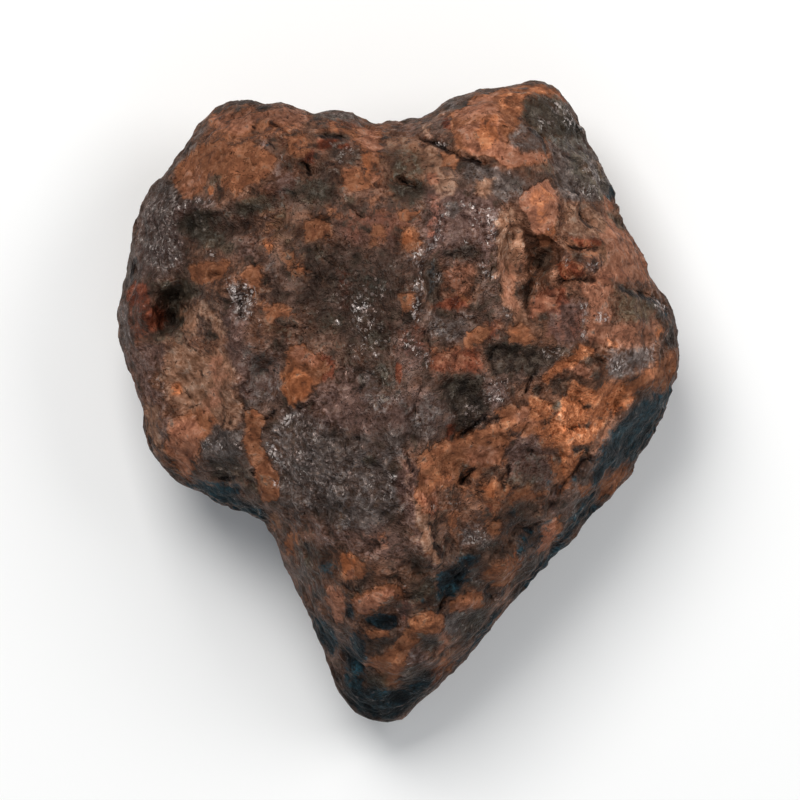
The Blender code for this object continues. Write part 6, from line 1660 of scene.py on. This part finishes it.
def crust_material():
    m = bpy.data.materials.new("weathered_crust_detailed")
    m.use_nodes = True
    t = Tree(m.node_tree)
    rust, bright, tan = t.channels("crust_a")
    dark, blue, grey = t.channels("crust_b")
    red, spark, brown = t.channels("crust_c")
    pit_near, pit_wide, seam = t.channels("crust_d")
    rose, olive, violet = t.channels("crust_e")
    worn, grimy, _ = t.channels("painted_light_shade")

    # shared noises, from broad to fine
    broad = t.noise(40, 3, 0.6, (1, 2, 3), distortion=0.3)
    broad_b = t.noise(30, 2, 0.5, (5, 2, 8), distortion=0.3)
    patch = t.noise(17, 3, 0.6, (4, 1, 7), distortion=0.5)
    patch_b = t.noise(12, 3, 0.6, (9, 5, 2), distortion=0.7)
    small = t.noise(6.0, 2, 0.6, (3, 8, 5), distortion=0.4)
    small_b = t.noise(4.0, 2, 0.6, (7, 3, 1))
    tiny = t.noise(2.0, 1, 0.5, (2, 6, 4))
    streak_a = t.noise(3.4, 3, 0.6, (5, 5, 5), distortion=0.25,
                       vector=t.moved((3, 3, 3), stretch=(1.0, 0.45, 1.0), turn=(0, 0, 35)))
    streak_b = t.noise(3.4, 3, 0.6, (8, 2, 6), distortion=0.25,
                       vector=t.moved((6, 1, 2), stretch=(1.0, 0.45, 1.0), turn=(0, 0, -60)))
    streak = t.level(t.span(broad, 0.46, 0.54), streak_a, streak_b)

    def shown(zone, strength=1.0, soft=0.24, middle=0.46, edge_noise=None):
        """The drawn share turned into a patch with mottled edges."""
        ragged = t.times(t.math("SUBTRACT", edge_noise or patch_b, 0.5), strength)
        ragged = t.plus(ragged, t.times(t.math("SUBTRACT", small, 0.5), strength * 0.6),
                        t.times(t.math("SUBTRACT", patch, 0.5), strength * 0.4))
        return t.span(t.plus(zone, ragged), middle - soft, middle + soft)

    # the plain crust: dark purple brown, here and there olive, red brown or warm grey
    base = t.ramp(t.plus(t.times(broad, 0.4), t.times(patch, 0.6)),
                  (0.36, (54, 41, 35)), (0.46, (78, 60, 52)), (0.54, (94, 73, 64)), (0.64, (116, 93, 83)))
    base = t.mix(t.times(t.span(patch_b, 0.51, 0.66), 0.7), base,
                 t.ramp(patch, (0.35, (86, 57, 44)), (0.65, (116, 80, 62))))
    base = t.mix(t.times(t.span(patch_b, 0.46, 0.34), 0.5), base,
                 t.ramp(patch, (0.35, (52, 47, 40)), (0.65, (76, 67, 57))))
    colour = base

    def coat(zone, strength, soft, cover, *stops, blend=None):
        """Lays one kind of crust over the colour so far and gives back how much of it shows."""
        nonlocal colour
        on = t.times(shown(zone, strength, soft), cover)
        colour = t.mix(on, colour, t.ramp(blend or t.plus(t.times(small, 0.2), t.times(patch_b, 0.8)), *stops))
        return on

    wide_blend = t.plus(t.times(small, 0.2), t.times(patch, 0.8))
    coat(brown, 1.6, 0.30, 0.9, (0.36, (76, 50, 39)), (0.45, (98, 67, 52)), (0.54, (114, 79, 62)),
         (0.66, (136, 99, 80)), blend=wide_blend)
    coat(violet, 1.3, 0.30, 0.88, (0.36, (66, 47, 43)), (0.46, (90, 68, 62)), (0.55, (110, 86, 78)),
         (0.66, (136, 110, 102)))
    grey_on = coat(grey, 1.2, 0.26, 0.88, (0.36, (56, 49, 47)), (0.47, (78, 68, 64)), (0.56, (98, 87, 82)),
                   (0.66, (126, 114, 109)))
    tan_on = coat(tan, 1.1, 0.28, 0.88, (0.36, (106, 75, 58)), (0.47, (128, 93, 74)), (0.55, (144, 109, 89)),
                  (0.66, (170, 138, 118)))
    red_on = coat(red, 1.0, 0.26, 0.9, (0.36, (74, 38, 28)), (0.5, (108, 57, 41)), (0.64, (140, 82, 62)),
                  blend=wide_blend)
    rust_on = coat(rust, 1.3, 0.24, 0.93, (0.35, (98, 62, 45)), (0.44, (119, 75, 54)), (0.53, (136, 88, 63)),
                   (0.66, (160, 110, 83)))
    rose_on = coat(rose, 1.1, 0.26, 0.86, (0.35, (110, 70, 56)), (0.45, (134, 88, 69)), (0.54, (154, 104, 82)),
                   (0.66, (176, 128, 106)))
    bright_on = coat(bright, 1.3, 0.22, 0.88, (0.36, (128, 76, 50)), (0.47, (152, 92, 61)), (0.56, (172, 108, 74)),
                     (0.66, (194, 134, 98)), blend=wide_blend)
    coat(olive, 1.3, 0.34, 0.7, (0.36, (42, 40, 33)), (0.48, (62, 57, 47)), (0.57, (80, 74, 62)),
         (0.67, (104, 97, 82)))
    # dark crust, partly painted shade in the pits, hollows and cracks and at the foot of the walls
    dark_on = coat(dark, 1.5, 0.34, 0.82, (0.36, (26, 23, 21)), (0.48, (44, 39, 35)), (0.57, (60, 54, 48)),
                   (0.67, (84, 76, 68)))
    # black crust, with painted shade and a painted bluish reflection
    blue_on = coat(blue, 1.2, 0.28, 0.92, (0.36, (8, 29, 32)), (0.5, (16, 42, 48)), (0.64, (36, 62, 70)),
                   blend=wide_blend)

    # how powdery the crust is: rust and tan dust lie smooth and matt, the rest is grainy
    dust = t.math("MAXIMUM", t.math("MAXIMUM", rust_on, t.times(tan_on, 0.9)),
                  t.math("MAXIMUM", t.times(red_on, 0.4), rose_on))
    dust = t.times(dust, t.math("SUBTRACT", 1.0, dark_on))

    # light and dark mottling, dark pinholes, hair cracks and pale grains
    mottle = t.plus(t.times(t.math("SUBTRACT", small_b, 0.5), 1.7), t.times(t.math("SUBTRACT", streak, 0.5), 0.7),
                    t.times(t.math("SUBTRACT", tiny, 0.5), 1.0), t.times(t.math("SUBTRACT", small, 0.5), 1.2))
    mottle = t.times(mottle, t.level(dust, 1.0, 0.5))
    mottle = t.times(mottle, t.span(broad_b, 0.38, 0.60, 0.45, 1.35))
    grain = t.node("ShaderNodeVectorMath", operation="MULTIPLY_ADD")
    t.put(grain.inputs[0], t.joined(mottle))
    grain.inputs[1].default_value = (0.75, 1.0, 1.22)
    grain.inputs[2].default_value = (1.0, 1.0, 1.0)
    colour = t.product(colour, t.above(grain.outputs[0], 0.3))
    cloud = t.plus(t.times(t.math("SUBTRACT", patch, 0.5), 1.0), t.times(t.math("SUBTRACT", broad, 0.5), 0.9))
    colour = t.scaled(colour, t.math("ADD", cloud, 1.0))
    # painted light and painted shade: the colour made paler or darker by the drawn patches
    colour = t.scaled(colour, t.math("ADD", t.times(worn, 0.8), 1.0))
    colour = t.scaled(colour, t.math("SUBTRACT", 1.0, t.times(grimy, 0.6)))
    hole_on = t.times(t.span(t.noise(4.2, 2, 0.55, (6, 1, 8), distortion=0.4), 0.36, 0.28), t.span(patch, 0.42, 0.56))
    colour = t.scaled(colour, t.math("SUBTRACT", 1.0, t.times(hole_on, 0.6)))
    creases = t.span(t.math("ABSOLUTE", t.math("SUBTRACT", patch_b, 0.5)), 0.022, 0.0)
    crease_on = t.times(t.times(creases, t.span(broad, 0.50, 0.62)), t.span(small, 0.44, 0.54))
    colour = t.scaled(colour, t.math("SUBTRACT", 1.0, t.times(crease_on, 0.45)))
    # painted shade: dark brown along the drawn cracks
    colour = t.mix(t.times(t.span(t.plus(seam, t.times(t.math("SUBTRACT", small, 0.5), 0.8)), 0.25, 0.75), 0.85),
                   colour, tone(30, 20, 15))

    # painted shade: hollows are made darker; painted highlight: crests are made paler
    hollow_shade = t.plus(t.times(t.span(pit_near, 0.53, 0.80), 0.50), t.times(t.span(pit_wide, 0.58, 0.88), 0.20))
    colour = t.scaled(colour, t.math("SUBTRACT", 1.0, t.math("MINIMUM", hollow_shade, 0.85)))
    crest_highlight = t.times(t.span(pit_near, 0.47, 0.30), t.span(patch, 0.42, 0.58))
    colour = t.scaled(colour, t.math("ADD", 1.0, t.times(crest_highlight, 0.45)))

    # glints: crystal faces, each turned its own way and made metallic and glossy, with a painted highlight: their
    # colour is painted pale, up to near white
    grains = t.cells(3.2, (2, 9, 4), vector=t.bent(0.0007, 4.0))
    pick = t.node("ShaderNodeSeparateColor")
    t.tree.links.new(grains.outputs["Color"], pick.inputs[0])
    body = t.span(grains.outputs["Distance"], 0.78, 0.36)
    likely = t.plus(t.times(spark, 0.66), t.times(grey_on, 0.10), t.times(t.math("SUBTRACT", patch_b, 0.5), 0.6))
    spark_on = t.times(t.span(t.plus(pick.outputs[0], likely), 0.94, 1.04), body)
    spark_on = t.times(spark_on, t.math("SUBTRACT", 1.0, t.times(dust, t.level(spark, 0.75, 0.1))))
    strong = t.math("ADD", t.times(pick.outputs[2], 0.55), t.times(t.span(spark, 0.5, 0.95), 0.45))
    # painted highlight: the pale colour painted on the glinting faces
    lit = t.mix(t.level(spark, 0.35, 0.75), t.scaled(colour, 2.2),
                t.ramp(strong, (0.1, (92, 80, 76)), (0.6, (150, 136, 132)), (0.95, (226, 214, 210))))
    # between the glints the crust is darker
    colour = t.scaled(colour, t.math("SUBTRACT", 1.0, t.times(t.span(spark, 0.35, 0.95), 0.25)))
    colour = t.mix(t.times(spark_on, 0.9), colour, lit)
    # painted highlights: thin pale lines like wet edges catching light, running mostly along the sheet; they are also
    # glossier and metallic
    thread = t.noise(6.5, 2, 0.5, (4, 4, 9), distortion=0.5,
                     vector=t.moved((1, 4, 2), stretch=(1.0, 0.5, 1.0), turn=(0, 0, 15)))
    thread_on = t.times(t.span(t.math("ABSOLUTE", t.math("SUBTRACT", thread, 0.5)), 0.034, 0.008),
                        t.span(t.noise(5.0, 1, 0.5, (8, 8, 1)), 0.50, 0.60))
    glossy = t.plus(t.times(spark, 0.9), t.times(grey_on, 0.25), t.times(t.math("SUBTRACT", patch_b, 0.5), 1.6),
                    t.times(t.math("SUBTRACT", broad_b, 0.5), 0.8))
    thread_on = t.times(t.times(thread_on, t.span(glossy, 0.08, 0.55)),
                        t.math("SUBTRACT", 1.0, t.times(dust, t.level(spark, 0.8, 0.1))))
    colour = t.mix(t.times(thread_on, 0.85), colour,
                   t.ramp(t.plus(t.times(spark, 0.7), t.times(small, 0.4)), (0.15, (118, 106, 100)), (0.5, (170, 158, 152)),
                          (0.95, (236, 226, 220))))
    spark_on = t.math("MAXIMUM", spark_on, thread_on)

    rough = t.level(grey_on, 0.56, 0.44)
    rough = t.level(dust, rough, 0.78)
    rough = t.level(dark_on, rough, 0.48)
    rough = t.level(blue_on, rough, 0.60)
    rough = t.plus(rough, t.times(t.math("SUBTRACT", small, 0.5), 0.5))
    rough = t.level(spark_on, rough, 0.30)
    metal = t.level(grey_on, 0.04, 0.15)
    metal = t.level(dust, metal, 0.0)
    metal = t.level(spark_on, metal, 0.45)

    height = t.plus(t.times(small, 0.9), t.times(small_b, 0.8), t.times(tiny, 0.45), t.times(streak, 0.5))
    height = t.times(height, t.level(dust, 1.0, 0.4))
    height = t.plus(height, t.times(hole_on, -0.5), t.times(crease_on, -0.35))
    bump = t.node("ShaderNodeBump")
    bump.inputs["Strength"].default_value = 1.0
    bump.inputs["Distance"].default_value = 0.0005
    t.put(bump.inputs["Height"], height)
    tip = t.node("ShaderNodeVectorMath", operation="SUBTRACT")
    t.put(tip.inputs[0], grains.outputs["Color"])
    tip.inputs[1].default_value = (0.5, 0.5, 0.5)
    lean = t.node("ShaderNodeVectorMath", operation="SCALE")
    t.put(lean.inputs[0], tip.outputs[0])
    t.put(lean.inputs["Scale"], t.times(spark_on, 0.9))
    turned = t.node("ShaderNodeVectorMath", operation="ADD")
    t.put(turned.inputs[0], bump.outputs[0])
    t.put(turned.inputs[1], lean.outputs[0])
    normal = t.node("ShaderNodeVectorMath", operation="NORMALIZE")
    t.put(normal.inputs[0], turned.outputs[0])

    shader = t.node("ShaderNodeBsdfPrincipled")
    shader.inputs["Specular IOR Level"].default_value = 0.11
    t.put(shader.inputs["Base Color"], colour)
    t.put(shader.inputs["Roughness"], t.math("ADD", rough, 0.0, clamp=True))
    t.put(shader.inputs["Metallic"], metal)
    t.put(shader.inputs["Normal"], normal.outputs[0])
    out = t.node("ShaderNodeOutputMaterial")
    t.tree.links.new(shader.outputs[0], out.inputs["Surface"])
    return m


piece, shift = stone()
piece.data.materials.append(crust_material())
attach(piece, "root")
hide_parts("meteorite")

# ------------------------------------------------------------------------------------------------------------------
# Floor, light and camera
# ------------------------------------------------------------------------------------------------------------------
floor_mesh = bpy.data.meshes.new("floor")
bm = bmesh.new()
bmesh.ops.create_grid(bm, x_segments=2, y_segments=2, size=6.0)
bm.to_mesh(floor_mesh)
bm.free()
floor = bpy.data.objects.new("floor", floor_mesh)
bpy.context.scene.collection.objects.link(floor)
paper = bpy.data.materials.new("pale_paper")
paper.use_nodes = True
sheet = paper.node_tree.nodes["Principled BSDF"]
sheet.inputs["Base Color"].default_value = (0.93, 0.93, 0.93, 1.0)
sheet.inputs["Roughness"].default_value = 0.9
sheet.inputs["Specular IOR Level"].default_value = 0.1
floor_mesh.materials.append(paper)

world = bpy.data.worlds.new("studio")
bpy.context.scene.world = world
world.use_nodes = True
sky = world.node_tree.nodes["Background"]
sky.inputs["Color"].default_value = (0.96, 0.98, 1.0, 1.0)
sky.inputs["Strength"].default_value = 0.26


def lamp(name, place, size, power, colour):
    data = bpy.data.lights.new(name, "AREA")
    data.shape = "SQUARE"
    data.size = size
    data.energy = power
    data.color = colour
    o = bpy.data.objects.new(name, data)
    bpy.context.scene.collection.objects.link(o)
    o.location = place
    o.rotation_mode = "QUATERNION"
    o.rotation_quaternion = (Vector((0, 0, 0.02)) - Vector(place)).to_track_quat("-Z", "Y")
    o.visible_camera = False
    return o


lamp("key", (-0.27, 0.60, 1.0), 0.6, 11.2, (1.0, 0.985, 0.96))
lamp("side", (0.75, 0.35, 0.9), 0.6, 4.4, (1.0, 0.99, 0.97))
lamp("cool", (0.15, -0.92, 0.7), 0.6, 1.7, (0.75, 0.88, 1.0))

lens = bpy.data.cameras.new("camera")
eye = bpy.data.objects.new("camera", lens)
bpy.context.scene.collection.objects.link(eye)
bpy.context.scene.camera = eye
DISTANCE = 2.0
lens.sensor_width = 36.0
lens.lens = 36.0 * DISTANCE / (800 * UNIT)
lens.clip_start, lens.clip_end = 0.05, 20.0
eye.location = ((400.0 - SHEET_CENTRE[0]) * UNIT - shift[0], (SHEET_CENTRE[1] - 400.0) * UNIT - shift[1],
                0.026 + DISTANCE)
eye.rotation_euler = (0.0, 0.0, 0.0)

bpy.context.scene.view_settings.view_transform = "Standard"
bpy.context.scene.view_settings.look = "None"
